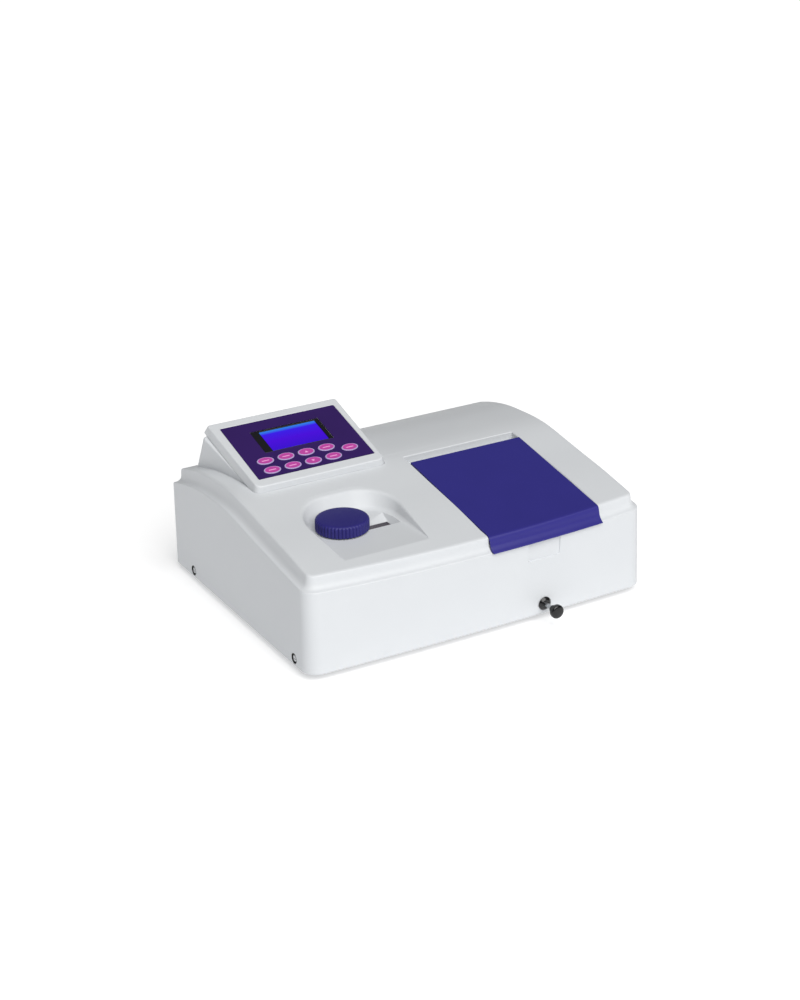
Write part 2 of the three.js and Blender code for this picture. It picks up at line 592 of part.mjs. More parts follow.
// Snail cam under the dial. Over three quarters of a turn its edge stays one running gap
// behind the roller while the arm turns in step with the dial; then it falls back.
const cam = { z: 88, thick: 3, play: 0.6, armPerDial: 0.0967, steps: 54 };
const dialSweep = { from: 90, to: -180 }; // dial angles at the two ends of the scale
const camPoints = [];
for (let i = 0; i <= cam.steps; i++) {
  const phi = THREE.MathUtils.lerp(dialSweep.from, dialSweep.to, i / cam.steps);
  const dialTurned = THREE.MathUtils.degToRad(phi);
  const armTurned = -cam.armPerDial * dialTurned;
  const roller = new THREE.Vector2(grating.x - dial.x + grating.arm * Math.cos(armTurned),
    grating.y - dial.y + grating.arm * Math.sin(armTurned));
  const r = roller.length() - grating.roller - cam.play;
  const a = roller.angle() - dialTurned;
  camPoints.push(new THREE.Vector2(r * Math.cos(a), r * Math.sin(a)));
}
const [camFirst, camLast] = [camPoints[0], camPoints.at(-1)];
for (let i = 1; i < 5; i++) {
  const r = THREE.MathUtils.lerp(camLast.length(), camFirst.length(), Math.min(1, i / 3));
  const a = camLast.angle() + (i / 5) * (Math.PI * 2 - (camLast.angle() - camFirst.angle()));
  camPoints.push(new THREE.Vector2(r * Math.cos(a), r * Math.sin(a)));
}
const camShape = new THREE.Shape(camPoints);
part('wavelength_cam', 'steel', prism(camShape, cam.z, cam.thick)
  .add(prism(ring(7, 24), cam.z, dial.z - 3 - gap - cam.z))
  .subtract(prism(ring(shaftR + 0.05, 24), cam.z - 1, 12)).translate(dial.x, dial.y, 0));

part('scale_window', 'glass', box(slot.x0 - 4, slot.x1 + 4, slot.y0 - 3, slot.y1 + 3,
  slot.z - 5, slot.z - 3 - gap));

// ---------------------------------------------------------------- monochromator
const mono = { x0: 36, x1: 212, y0: 22, y1: 196, z0: 28, z1: 78, wall: 4 };
const monoBox = (grow, z0, z1) => box(mono.x0 - grow, mono.x1 + grow, mono.y0 - grow,
  mono.y1 + grow, z0, z1);
let housing = monoBox(0, mono.z0, mono.z1).subtract(monoBox(-mono.wall, mono.z0 + 4, 90));
for (const y of [beam.exitY, beam.entryY]) {
  housing = housing.subtract(bar('x', [y, beam.z], 6, 200, 220));
}
for (const [x, y] of [[46, 32], [202, 32], [46, 186], [202, 150]]) {
  housing = housing.add(bar('z', [x, y], 6, traySheet + gap, mono.z0 + 2, 16));
}
part('monochromator_housing', 'castBlack', housing);
part('monochromator_cover', 'castBlack', monoBox(0, mono.z1 + gap, mono.z1 + 2.3)
  .add(bar('z', [knob.x, knob.y], 7, 79, 92))
  .subtract(bar('z', [knob.x, knob.y], shaftR + 0.05, 81, 95))
  .add(bar('z', [dial.x, dial.y], 6, 79, 87))
  .add(bar('z', [dial.x, dial.y], shaftR, 79, 99))
  .subtract(bar('z', [grating.x, grating.y], grating.shaftR + 0.05, 70, 90)));

// The cam follower: arm, roller and the vertical shaft that carries the grating.
const rollerX = grating.x + grating.arm;
const arm = prism(ring(5, 20), 82, 9).translate(grating.x, grating.y, 0)
  .add(box(grating.x, rollerX, grating.y - 1.5, grating.y + 1.5, 83, 86))
  .add(bar('z', [rollerX, grating.y], grating.roller, 83, 91))
  .add(bar('z', [grating.x, grating.y], grating.shaftR, 36, 84));
part('grating_arm', 'steel', arm);
const facing = THREE.MathUtils.degToRad(-12);
const gratingMesh = part('grating', 'mirror', box(-3, 3, -15, 15, -14, 14)
  .add(box(-7, -2.9, -15, 15, -16, 16))
  .subtract(bar('z', [-9, 0], 1, -20, 20)));
gratingMesh.position.set(grating.x + 10, grating.y, beam.z);
gratingMesh.rotation.z = facing;

for (const [name, y] of [['collimating_mirror', beam.entryY], ['focusing_mirror', beam.exitY]]) {
  const mount = box(42, 46, y - 14, y + 14, mono.z0 + 4 + gap, 73)
    .add(bar('x', [y, beam.z], 15, 45, 52, 32));
  part(name, 'mirror', mount);
}
for (const [name, y] of [['entrance_slit', beam.entryY], ['exit_slit', beam.exitY]]) {
  part(name, 'steel', box(206, 207.4, y - 9, y + 9, beam.z - 12, beam.z + 12)
    .subtract(box(200, 210, y - 0.5, y + 0.5, beam.z - 5, beam.z + 5)));
}

// ---------------------------------------------------------------- lamp
const lampX = 262;
part('lamp_house', 'castBlack', box(222, 290, 161.5, 218, traySheet + gap, 84)
  .subtract(box(225, 287, 164.3, 215, 8, 90))
  .subtract(bar('x', [beam.entryY, beam.z], 8, 215, 230)));
part('lamp_socket', 'zinc', box(lampX - 9, lampX + 9, 165, 181, 8 + gap, 30));
part('lamp', 'glass', turned([[0, 0], [4, 0], [5, 2], [6, 6], [6, 27], [5.4, 31], [3, 33.4],
  [0, 34]], 20, lampX, beam.entryY, 30 + gap));
const lensMesh = part('condenser_lens', 'glass', turned([[0, -1.6], [7.2, -1.6], [7.2, 0],
  [6, 1.4], [3, 2.8], [0, 3.2]], 24, 0, 0, 0));
lensMesh.position.set(238, beam.entryY, beam.z);
lensMesh.rotation.y = Math.PI / 2;

// ---------------------------------------------------------------- sample compartment
const lipSection = (b) => [
  [2.6 - b + 0.4, lid.lip], [5.4 - b, lid.lip + 2], [8.6 - b, lidTop(8) - 5.4],
  [12 - b, lidTop(12) - lid.thick],
  [lid.y1, lidTop(lid.y1) - lid.thick], [lid.y1, lidTop(lid.y1)],
  [10 - b, lidTop(10 - b)], [8.4 - b, lidTop(8.4 - b) - 0.8], [6.8 - b, lid.crease - 4],
  [5.2 - b, lid.crease - 9.5], [2 - b, lid.lip + 3], [-1 - b, lid.lip + 0.8], [-1 - b, lid.lip],
];
const skirt = (x0) => sweepX(x0, x0 + 2.5, (b) => [
  [12 - b, lidTop(12) - 6.4], [hinge.y - 3.6, lidTop(hinge.y) - 8.4],
  [hinge.y + 1, lidTop(hinge.y) - 8.4], [hinge.y + 3.2, lidTop(hinge.y) - 6],
  [hinge.y + 3.2, lidTop(hinge.y) - 1], [12 - b, lidTop(12) - 1]], 1);
let lidSolid = sweepX(lid.x0, lid.x1, lipSection).add(skirt(lid.x0)).add(skirt(lid.x1 - 2.5));
lidSolid = lidSolid.subtract(bar('x', [hinge.y, hinge.z], hinge.holeR, 200, 380));
part('compartment_lid', 'lidBlue', lidSolid);
part('hinge_pin', 'steel', bar('x', [hinge.y, hinge.z], hinge.pinR, 214.6, 363.4));

// Foam strip on the seat, round the opening, that keeps daylight out.
const strip = (grow, low, high) => {
  const [front, rear] = [well.y0 - grow + 3, well.y1 + grow - 3];
  return sweepX(well.x0 - grow, well.x1 + grow, () => [[front, lidTop(front) - low],
    [rear, lidTop(rear) - low], [rear, lidTop(rear) - high], [front, lidTop(front) - high]], 1);
};
part('light_seal', 'rubber', strip(5, well.deep - gap, well.deep - 4)
  .subtract(strip(-0.5, well.deep + 5, well.deep - 9)));

// The tub hangs under the lid's seat; its top follows the seat's slope.
const tubTop = (y) => lidTop(y) - well.deep - 3.6;
const tubBlock = (grow, z0, lift) => loft([tub.x0 - grow, tub.x1 + grow].map((x) => [
  [tub.y0 - grow, z0], [tub.y1 + grow, z0], [tub.y1 + grow, tubTop(tub.y1) + lift],
  [tub.y0 - grow, tubTop(tub.y0) + lift]].map(([y, z]) => new THREE.Vector3(x, y, z))));
let tubSolid = tubBlock(0, tub.z0, -1).subtract(tubBlock(-tub.wall, tub.z0 + tub.wall, 30));
for (const x of [rod.x - 20, rod.x + 17]) {
  tubSolid = tubSolid.add(box(x, x + 3, tub.y0 + 1, tub.y1 - 1, tub.z0 + 1, 7.4));
}
tubSolid = tubSolid.subtract(bar('y', [rod.x, rod.z], rod.r + 0.5, 0, 20))
  .subtract(bar('x', [beam.exitY, beam.z], 6, 210, 230))
  .subtract(bar('x', [beam.exitY, beam.z], 6, 350, 370));
part('compartment_tub', 'castBlack', tubSolid);

const rear = carriage.y0 + carriage.length;
const blockX = [rod.x - carriage.width / 2, rod.x + carriage.width / 2];
let holder = box(rod.x - 15.5, rod.x + 15.5, carriage.y0, rear, 7.8, 16.5)
  .add(box(...blockX, carriage.y0, carriage.y0 + 3, 16, 72))
  .add(box(...blockX, rear - 3, rear, 16, 72))
  .add(box(...blockX, carriage.y0, rear, 32, 72));
for (let i = 0; i < 4; i++) {
  const y = carriage.first + i * carriage.pitch;
  const half = carriage.cuvette / 2;
  holder = holder.subtract(box(rod.x - half, rod.x + half, y - half, y + half, 36, 80))
    .subtract(box(rod.x - 20, rod.x + 20, y - 4, y + 4, 48, 64));
}
holder = holder.subtract(bar('y', [rod.x, rod.z], rod.r + gap, carriage.y0 - 1, carriage.y0 + 8));
part('cell_carriage', 'black', holder);
part('pull_rod', 'steel', bar('y', [rod.x, rod.z], rod.r, -21, carriage.y0 + 7));
part('rod_knob', 'black', bar('y', [rod.x, rod.z], 7.8, front, front + 6.2, 32)
  .add(bar('y', [rod.x, rod.z], 4.4, front + 6, front + 12))
  .subtract(bar('y', [rod.x, rod.z], rod.r + 0.05, front + 9.6, front + 14)));
part('rod_bush', 'black', bar('y', [rod.x, rod.z], 7.8, -6.8, -3.8, 32)
  .add(bar('y', [rod.x, rod.z], 5, -6, 7))
  .subtract(bar('y', [rod.x, rod.z], rod.r + 0.05, -10, 12)));

// ---------------------------------------------------------------- detector and electronics
part('detector_housing', 'castBlack', box(364, 404, 62, 108, traySheet + gap, 78)
  .subtract(box(368, 400, 66, 104, 30, 82))
  .subtract(bar('x', [beam.exitY, beam.z], 6, 360, 370)));
part('photodiode', 'steel', bar('x', [beam.exitY, beam.z], 4.6, 372, 376)
  .add(box(376, 378, 74, 96, 44, 68)));
let board = box(30, 206, 214, 322, 12, 13.6);
for (const [x, y, w, d, h] of [[50, 230, 30, 30, 4], [100, 240, 22, 40, 6], [140, 226, 14, 14, 12],
  [160, 226, 14, 14, 12], [60, 290, 40, 12, 9], [130, 292, 50, 14, 9]]) {
  board = board.add(box(x, x + w, y, y + d, 13, 13.6 + h));
}
for (const x of [38, 198]) {
  for (const y of [222, 314]) board = board.add(bar('z', [x, y], 3, traySheet + gap, 12.5, 12));
}
part('main_board', 'board', board);
part('transformer', 'copper', box(322, 392, 236, 296, traySheet + gap, 56)
  .add(box(334, 380, 226, 306, 14, 46)));

// ---------------------------------------------------------------- origin
const object = new THREE.Group();
model.position.set(-cover.width / 2, -(front + cover.depth) / 2, foot.height);
object.add(model);
object.updateMatrixWorld(true);

export default object;
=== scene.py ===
# %% [markdown]
# # A bench-top spectrophotometer
# A white moulded cover stands on a steel tray. On the left it carries a tilted keypad
# console and, in a recess, the ribbed wavelength knob with its scale window. On the
# right a blue lid shuts the sample compartment, and a black pull knob moves the cells.
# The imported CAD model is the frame: it gives every piece its place and says what moves.
# This script builds the fine surfaces and finishes round that frame.

import math

import bmesh
import bpy
import numpy as np
from mathutils import Matrix, Vector


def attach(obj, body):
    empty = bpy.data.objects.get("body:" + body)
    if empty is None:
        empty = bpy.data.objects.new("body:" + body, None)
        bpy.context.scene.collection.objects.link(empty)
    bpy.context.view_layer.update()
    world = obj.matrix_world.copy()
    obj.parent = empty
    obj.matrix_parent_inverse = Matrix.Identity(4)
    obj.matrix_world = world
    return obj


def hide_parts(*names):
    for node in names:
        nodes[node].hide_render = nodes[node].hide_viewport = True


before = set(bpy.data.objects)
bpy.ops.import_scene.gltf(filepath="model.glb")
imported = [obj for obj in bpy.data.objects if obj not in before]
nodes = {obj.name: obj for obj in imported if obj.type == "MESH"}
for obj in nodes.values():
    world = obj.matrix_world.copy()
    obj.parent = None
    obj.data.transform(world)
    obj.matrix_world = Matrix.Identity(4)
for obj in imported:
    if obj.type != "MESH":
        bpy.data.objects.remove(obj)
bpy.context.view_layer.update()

# %% [markdown]
# ## Units and places
# The pieces are laid out in millimetres from the cover's front left bottom corner, x to
# the right and y to the back. The frame's origin is in the middle of the footprint on
# the bench, so one shift and one scale carry every point into it.

# %% Millimetres to the frame
MM = 0.001
SHIFT = np.array([-210.0, -153.25, 8.0])


def to_frame(points):
    """Layout points in millimetres as frame points in metres."""
    return (np.asarray(points, float) + SHIFT) * MM


# %% [markdown]
# ## Camera
# A product view from the front left, a little above the object. A long lens keeps the
# perspective gentle. The camera's three axes are worked out from its heading, its
# downward pitch and a slight roll.

# %% Camera
HEADING, PITCH, ROLL = (math.radians(a) for a in (-28.931, 23.14, -1.486))
back = Vector((math.sin(HEADING) * math.cos(PITCH), -math.cos(HEADING) * math.cos(PITCH),
               math.sin(PITCH)))
right = Vector((math.cos(HEADING), math.sin(HEADING), 0))
up = back.cross(right)
axis_x = right * math.cos(ROLL) + up * math.sin(ROLL)
axis_y = -right * math.sin(ROLL) + up * math.cos(ROLL)
camera_data = bpy.data.cameras.new("camera")
camera_data.lens = 71.5
camera = bpy.data.objects.new("camera", camera_data)
bpy.context.scene.collection.objects.link(camera)
camera.matrix_world = Matrix(
    [(axis_x[i], axis_y[i], back[i], (-0.99602, -1.77766, 0.97439)[i]) for i in range(3)]
    + [(0, 0, 0, 1)])
bpy.context.scene.camera = camera
print("camera lens:", camera_data.lens, "mm")

# %% [markdown]
# ## Floor and light
# A product like this is shot on a lit white table, so the floor glows a little and hardly
# takes a shadow. One very soft source stands high in front. The world is a dim white dome,
# so the sides away from the light turn a darker grey, which shows the cover's shape. The
# standard view transform keeps the whites white and the blues deep. The floor has a cell
# of its own, and the world and the light share one.

# %% Colour and node helpers
def linear(hex_colour):
    """An sRGB hex colour as linear RGBA."""
    srgb = [int(hex_colour[i:i + 2], 16) / 255 for i in (1, 3, 5)]
    return [c / 12.92 if c <= 0.04045 else ((c + 0.055) / 1.055) ** 2.4 for c in srgb] + [1]


def add_node(material, kind, inputs=None, **settings):
    """Adds one node. Inputs go by name or number: a socket is linked, a value is set."""
    node = material.node_tree.nodes.new(kind)
    for name, value in settings.items():
        setattr(node, name, value)
    for name, value in (inputs or {}).items():
        if isinstance(value, bpy.types.NodeSocket):
            material.node_tree.links.new(value, node.inputs[name])
        else:
            node.inputs[name].default_value = value
    return node


def new_material(name):
    """An empty node material and its output node."""
    material = bpy.data.materials.new(name)
    material.use_nodes = True
    material.node_tree.nodes.clear()
    return material, add_node(material, "ShaderNodeOutputMaterial")


# %% Floor
floor_paper, floor_out = new_material("white_paper_sweep")
spot = add_node(floor_paper, "ShaderNodeTexCoord")
fibre = add_node(floor_paper, "ShaderNodeTexNoise", {"Vector": spot.outputs["Object"],
                                                     "Scale": 4.0, "Detail": 2.0})
shade = add_node(floor_paper, "ShaderNodeMix", {0: fibre.outputs["Fac"], 6: linear("#d4d5d6"),
                                                7: linear("#d9d9da")}, data_type="RGBA")
paper = add_node(floor_paper, "ShaderNodeBsdfPrincipled",
                 {"Base Color": shade.outputs[2], "Roughness": 0.95, "Specular IOR Level": 0.1,
                  "Emission Color": linear("#ffffff"), "Emission Strength": 0.45})
floor_paper.node_tree.links.new(paper.outputs[0], floor_out.inputs[0])
floor_mesh = bpy.data.meshes.new("floor")
floor_mesh.from_pydata([(-40, -40, 0), (40, -40, 0), (40, 60, 0), (-40, 60, 0)], [],
                       [(0, 1, 2, 3)])
floor = bpy.data.objects.new("floor", floor_mesh)
floor_mesh.materials.append(floor_paper)
bpy.context.scene.collection.objects.link(floor)

# %% Lights
world = bpy.data.worlds.new("dim_dome")
world.use_nodes = True
world.node_tree.nodes["Background"].inputs[0].default_value = linear("#f4f6fa")
world.node_tree.nodes["Background"].inputs[1].default_value = 0.12
bpy.context.scene.world = world


def soft_light(name, strength, towards, spread, colour):
    """A distant soft source: towards is the direction from the object to the light."""
    data = bpy.data.lights.new(name, "SUN")
    data.energy, data.angle, data.color = strength, math.radians(spread), linear(colour)[:3]
    light = bpy.data.objects.new(name, data)
    light.rotation_mode = "QUATERNION"
    light.rotation_quaternion = Vector(towards).to_track_quat("Z", "Y")
    bpy.context.scene.collection.objects.link(light)
    return light


soft_light("front_softbox", 3.5, (-0.07, -0.66, 0.75), 60, "#fffefc")
bpy.context.scene.view_settings.view_transform = "Standard"

# %% [markdown]
# ## Making solids
# Almost every piece is a loft: a row of rings with equal numbers of points, skinned into
# a closed solid. Cut-outs are solid booleans on those lofts, which leave a closed mesh
# with exact edges. A narrow bevel, put on some CAD pieces at the end, takes the
# sharpness off, as a mould does.

# %% Loft and boolean helpers
def mesh_object(name, points, faces):
    """A mesh object from layout points in millimetres."""
    mesh = bpy.data.meshes.new(name)
    mesh.from_pydata([tuple(p) for p in to_frame(points)], [], faces)
    mesh.validate()
    obj = bpy.data.objects.new(name, mesh)
    bpy.context.scene.collection.objects.link(obj)
    return obj


def close_outwards(obj):
    """Turns all faces of a closed mesh to point outwards."""
    shell = bmesh.new()
    shell.from_mesh(obj.data)
    bmesh.ops.remove_doubles(shell, verts=shell.verts, dist=1e-7)
    bmesh.ops.recalc_face_normals(shell, faces=shell.faces)
    shell.to_mesh(obj.data)
    shell.free()
    return obj


def loft(name, rings, cap="ngon"):
    """A closed solid through rings. A strip cap joins left and right points of equal y."""
    rings = np.asarray(rings, float)
    count = rings.shape[1]
    faces = []
    for k in range(len(rings) - 1):
        for i in range(count):
            j = (i + 1) % count
            faces.append((k * count + i, k * count + j, (k + 1) * count + j, (k + 1) * count + i))
    last = (len(rings) - 1) * count
    if cap == "ngon":
        faces += [tuple(range(count - 1, -1, -1)), tuple(range(last, last + count))]
    else:
        for start in (0, last):
            for i in range(count // 2 - 1):
                j = count - 1 - i
                faces.append((start + i, start + i + 1, start + j - 1, start + j))
    return close_outwards(mesh_object(name, rings.reshape(-1, 3), faces))


def box(name, x0, x1, y0, y1, z0, z1):
    """A plain block, used only to cut."""
    return loft(name, [[(x0, y0, z), (x1, y0, z), (x1, y1, z), (x0, y1, z)] for z in (z0, z1)])


def bar(name, axis, centre, radius, start, end, steps=48):
    """A round bar along an axis; centre gives the two other coordinates in order."""
    rings = []
    for along in (start, end):
        ring = []
        for i in range(steps):
            a = 2 * math.pi * i / steps
            p, q = centre[0] + radius * math.cos(a), centre[1] + radius * math.sin(a)
            ring.append({"x": (along, p, q), "y": (p, along, q), "z": (p, q, along)}[axis])
        rings.append(ring)
    return loft(name, rings)


def bake_mesh(obj):
    """Replaces an object's mesh by the mesh that its modifiers give."""
    made = bpy.data.meshes.new_from_object(
        obj.evaluated_get(bpy.context.evaluated_depsgraph_get()))
    old, obj.data = obj.data, made
    obj.modifiers.clear()
    bpy.data.meshes.remove(old)
    return obj


def combine(obj, *steps):
    """Applies (operation, tool) pairs in order and removes the tools."""
    for operation, tool in steps:
        cut = obj.modifiers.new(tool.name, "BOOLEAN")
        cut.operation, cut.object, cut.solver = operation, tool, "MANIFOLD"
    bake_mesh(obj)
    for tool in {tool for _, tool in steps}:
        bpy.data.objects.remove(tool)
    return obj


def smooth(obj, angle=32):
    """Smooth shading that keeps edges sharper than angle, weighted by face area."""
    obj.data.shade_smooth()
    obj.data.set_sharp_from_angle(angle=math.radians(angle))
    weigh = obj.modifiers.new("even_shading", "WEIGHTED_NORMAL")
    weigh.keep_sharp = True
    return obj


def soften(obj, width, segments=3, angle=35):
    """A narrow bevel on the sharp edges of a clean mesh; width in millimetres."""
    edge = obj.modifiers.new("soft_edge", "BEVEL")
    edge.width, edge.segments = width * MM, segments
    edge.limit_method, edge.angle_limit = "ANGLE", math.radians(angle)
    return obj


def finish_piece(obj, material, body, replaced):
    """Gives a piece its finish, its body and the CAD nodes that it stands for."""
    obj.data.materials.clear()
    obj.data.materials.append(material)
    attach(obj, body)
    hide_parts(*replaced)
    print(obj.name, "faces:", len(obj.data.polygons))
    return obj


# %% [markdown]
# ## White moulded plastic
# The cover is vacuum-formed or injection-moulded ABS in a cool off-white. Its skin has a
# fine spark-eroded grain, which breaks up the highlights, and a barely visible change of
# shade over a hand's breadth. The grain is about 0.4 mm, drawn at 0.9 mm so that it shows.

# %% Plastic maker
def moulded_plastic(name, dark, light, rough, grain_mm, relief_mm, specular=0.5, mottle_mm=60):
    """A grained opaque plastic whose shade drifts between two hex colours."""
    material, out = new_material(name)
    place = add_node(material, "ShaderNodeTexCoord").outputs["Object"]
    drift = add_node(material, "ShaderNodeTexNoise",
                     {"Vector": place, "Scale": 1 / (mottle_mm * MM), "Detail": 3.0})
    grain = add_node(material, "ShaderNodeTexNoise",
                     {"Vector": place, "Scale": 1 / (grain_mm * MM), "Detail": 2.0})
    colour = add_node(material, "ShaderNodeMix",
                      {0: drift.outputs["Fac"], 6: linear(dark), 7: linear(light)},
                      data_type="RGBA")
    gloss = add_node(material, "ShaderNodeMapRange",
                     {0: grain.outputs["Fac"], 1: 0.3, 2: 0.7, 3: rough - 0.06, 4: rough + 0.06})
    bump = add_node(material, "ShaderNodeBump",
                    {"Height": grain.outputs["Fac"], "Distance": relief_mm * MM,
                     "Strength": 0.6})
    skin = add_node(material, "ShaderNodeBsdfPrincipled",
                    {"Base Color": colour.outputs[2], "Roughness": gloss.outputs[0],
                     "Normal": bump.outputs[0], "IOR": 1.5, "Specular IOR Level": specular})
    material.node_tree.links.new(skin.outputs[0], out.inputs[0])
    return material


white_abs = moulded_plastic("grained_white_abs", "#c9ccd0", "#cdd0d3", 0.42, 0.9, 0.03, 0.35)
print("finish:", white_abs.name)

# %% [markdown]
# ## The cover's surface
# The cover is one moulding. Its plan is a rectangle with rounded corners and a front that
# bulges slightly, its walls have a degree of draft, and its top is a single curve from
# front to back, the same all the way across. A stepped shoulder runs round the top.

# %% Plan, ridge and shoulder
WIDTH, DEPTH, CORNER, BACK_CORNER, DRAFT = 420.0, 337.5, 18.0, 4.0, 0.017
BOW_LOW, BOW_HIGH, BOW_FULL = 2.9, 9.4, 91.0
RIDGE = np.array([(0, 105.8), (60, 117.6), (120, 126.9), (170, 134.9), (198, 137.1),
                  (230, 136.2), (265, 133.3), (300, 126.2), (337.5, 114.5)])
# inset from the wall, share of the drop, fixed part of the depth below the top
SHOULDER = [(0, 1, 0), (0.8, 1, -1.2), (3.5, 1, -2.6), (5.8, 1, -5), (7.2, 1, -8.5),
            (7.8, 0, 3.5), (8.6, 0, 1.2), (11, 0, 0)]
DROP_FRONT, DROP_SIDES, DROP_BLEND = 17.0, 20.0, 80.0
PLATEAU = 12.7  # how far in from the foot of the wall the open top begins


def spline(points, steps):
    """A uniform Catmull-Rom curve through points, with steps between each two."""
    points = np.asarray(points, float)
    padded = np.vstack([points[:1], points, points[-1:]])
    out = []
    for k in range(len(points) - 1):
        before, a, b, after = padded[k:k + 4]
        va, vb = (b - before) / 2, (after - a) / 2
        for t in np.arange(steps) / steps:
            out.append((2 * a - 2 * b + va + vb) * t ** 3
                       + (3 * b - 3 * a - 2 * va - vb) * t ** 2 + va * t + a)
    return np.array([*out, points[-1]])


PROFILE = spline(RIDGE, 40)


def top_z(y):
    """Height of the cover's top at a distance from the front; straight beyond its ends."""
    y = np.asarray(y, float)
    front = PROFILE[0, 1] + (y - PROFILE[0, 0]) * 0.1955
    slope = (PROFILE[-1, 1] - PROFILE[-2, 1]) / (PROFILE[-1, 0] - PROFILE[-2, 0])
    behind = PROFILE[-1, 1] + (y - PROFILE[-1, 0]) * slope
    inside = np.interp(y, PROFILE[:, 0], PROFILE[:, 1])
    return np.where(y < 0, front, np.where(y > DEPTH, behind, inside))


def bow_at(x, z):
    """How far the front bulges at x and height z."""
    reach = BOW_LOW + (BOW_HIGH - BOW_LOW) * min(1, z / BOW_FULL)
    t = (x - WIDTH / 2) / (WIDTH / 2 - CORNER)
    return reach * (1 - min(1, t * t))


def outline(inset, bulge, front=44, corner=14, side=72, rear=5):
    """The plan ring from the middle of the front round by the left, its ends split apart."""
    half = WIDTH / 2
    r, rb = max(CORNER - inset, 5), max(BACK_CORNER - inset, 1.5)
    lean = math.atan(2 * bulge / (half - inset - r))
    end_x, cx, cy = inset + r - r * math.sin(lean), inset + r, inset + r * math.cos(lean)
    left = [(half - t * (half - end_x), inset - bulge * (1 - t * t))
            for t in np.arange(front) / front]
    for a in lean + (math.pi / 2 - lean) * np.arange(corner + 1) / corner:
        left.append((cx - r * math.sin(a), cy - r * math.cos(a)))
    back_y = DEPTH - inset - rb
    left += [(inset, cy + (back_y - cy) * i / side) for i in range(1, side)]
    for a in math.pi / 2 * np.arange(rear + 1) / rear:
        left.append((inset + rb - rb * math.cos(a), back_y + rb * math.sin(a)))
    right_half = [(WIDTH - x, y) for x, y in reversed(left[1:])]
    return np.array([(half - 0.5, left[0][1]), *left[1:], *right_half, (half + 0.5, left[0][1])])


print("top of the ridge:", round(float(PROFILE[:, 1].max()), 1), "mm above the cover's edge")

# %% Cover blank
def cover_blank(name, wall, steps, **density):
    """The cover's solid outside, or its inside when wall is more than nothing."""
    plateau = outline(PLATEAU + wall, BOW_HIGH, **density)
    heights = top_z(plateau[:, 1])
    t = np.clip(plateau[:, 1] / DROP_BLEND, 0, 1)
    fall = DROP_FRONT + (DROP_SIDES - DROP_FRONT) * (t * t * (3 - 2 * t))

    def ring(inset, bulge, z):
        flat = outline(inset, bulge, **density)
        return np.column_stack([flat, np.broadcast_to(z, len(flat))])

    if wall:
        rings = [ring(wall, BOW_LOW, -1.0)]
    else:
        rings = [ring(0.5, BOW_LOW, 0.0), ring(0.0, BOW_LOW, 0.6)]
    for inset, share, fixed in spline(SHOULDER, steps):
        depth = share * fall + fixed
        rings.append(ring(inset + wall + DRAFT * BOW_FULL, BOW_HIGH, heights - depth - wall))
    if not wall:
        inner = PLATEAU + 2.5
        rings.append(ring(inner, BOW_HIGH, top_z(outline(inner, BOW_HIGH)[:, 1])))
    return loft(name, rings, "strip")


outside = cover_blank("cover_outside", 0, 4)
inside = cover_blank("cover_inside", 3.0, 1, front=12, corner=5, side=24, rear=2)
print("cover blank faces:", len(outside.data.polygons))

# %% [markdown]
# ## The console's pedestal
# A hollow hump carries the console slab. Its top follows the slab's underside, it is a
# little wider than the slab, and it widens again to the back. The console has its own
# sloping frame of u across, v up the slope and w square to it.

# %% Console frame and pedestal
TILT = math.radians(15.4)
CONSOLE = np.array([33.6, 174.0, 142.9])
CONSOLE_WIDTH, CONSOLE_LENGTH, CONSOLE_THICK, CONSOLE_FLARE = 156.5, 125.4, 10.5, 2.5
OUTWARDS = [(-1, -1), (1, -1), (1, 1), (-1, 1)]


def on_console(u, v, w):
    """A point in the console's sloping frame, as layout millimetres."""
    return CONSOLE + (u, v * math.cos(TILT) - w * math.sin(TILT),
                      v * math.sin(TILT) + w * math.cos(TILT))


def rounded_quad(corners, reach, steps=8):
    """A ring through four corners, each rounded by a parabola of its own reach."""
    points = []
    for i, (corner, r) in enumerate(zip(corners, reach)):
        before, after = corners[i - 1] - corner, corners[(i + 1) % 4] - corner
        a = corner + before / np.linalg.norm(before) * r
        b = corner + after / np.linalg.norm(after) * r
        points += [(1 - t) ** 2 * a + 2 * t * (1 - t) * corner + t * t * b
                   for t in np.linspace(0, 1, steps + 1)]
    return np.array(points)


def pedestal(name, grow, edge=0.0):
    """The pedestal; a negative grow gives the hollow inside, edge rounds its top rim."""
    w = -CONSOLE_THICK - 0.3 + (-3 if grow < 0 else 0)
    top_plan = [(0.8, -1), (155.7, -1), (167, 121.4), (-10.5, 121.4)]
    low_plan = [(28, 168), (195.5, 168), (204, 318), (20, 318)]

    def ring(share, inset, drop):
        top = [on_console(u + s * (grow - inset), v + t * (grow - inset), w - drop)
               for (u, v), (s, t) in zip(top_plan, OUTWARDS)]
        low = [np.array([x + s * grow, y + t * grow, 108.0])
               for (x, y), (s, t) in zip(low_plan, OUTWARDS)]
        mixed = [a * (1 - share) + b * share for a, b in zip(top, low)]
        return rounded_quad(mixed, [7 + grow] * 4)

    rings = [ring(1, 0, 0)]
    if edge:
        for a in np.radians([0, 22, 45, 68, 90]):
            rings.append(ring(0, edge * (1 - math.cos(a)), edge * (1 - math.sin(a))))
    else:
        rings.append(ring(0, 0, 0))
    return loft(name, rings)


def slab_ring(w, grow):
    """The console slab's outline: wider at the back, round in front, crisp behind."""
    plan = [(0, 0), (CONSOLE_WIDTH, 0), (CONSOLE_WIDTH + CONSOLE_FLARE, CONSOLE_LENGTH),
            (-CONSOLE_FLARE, CONSOLE_LENGTH)]
    corners = [on_console(u + s * grow, v + t * grow, w) for (u, v), (s, t) in zip(plan, OUTWARDS)]
    return rounded_quad(corners, (9, 9, 3.5, 3.5))


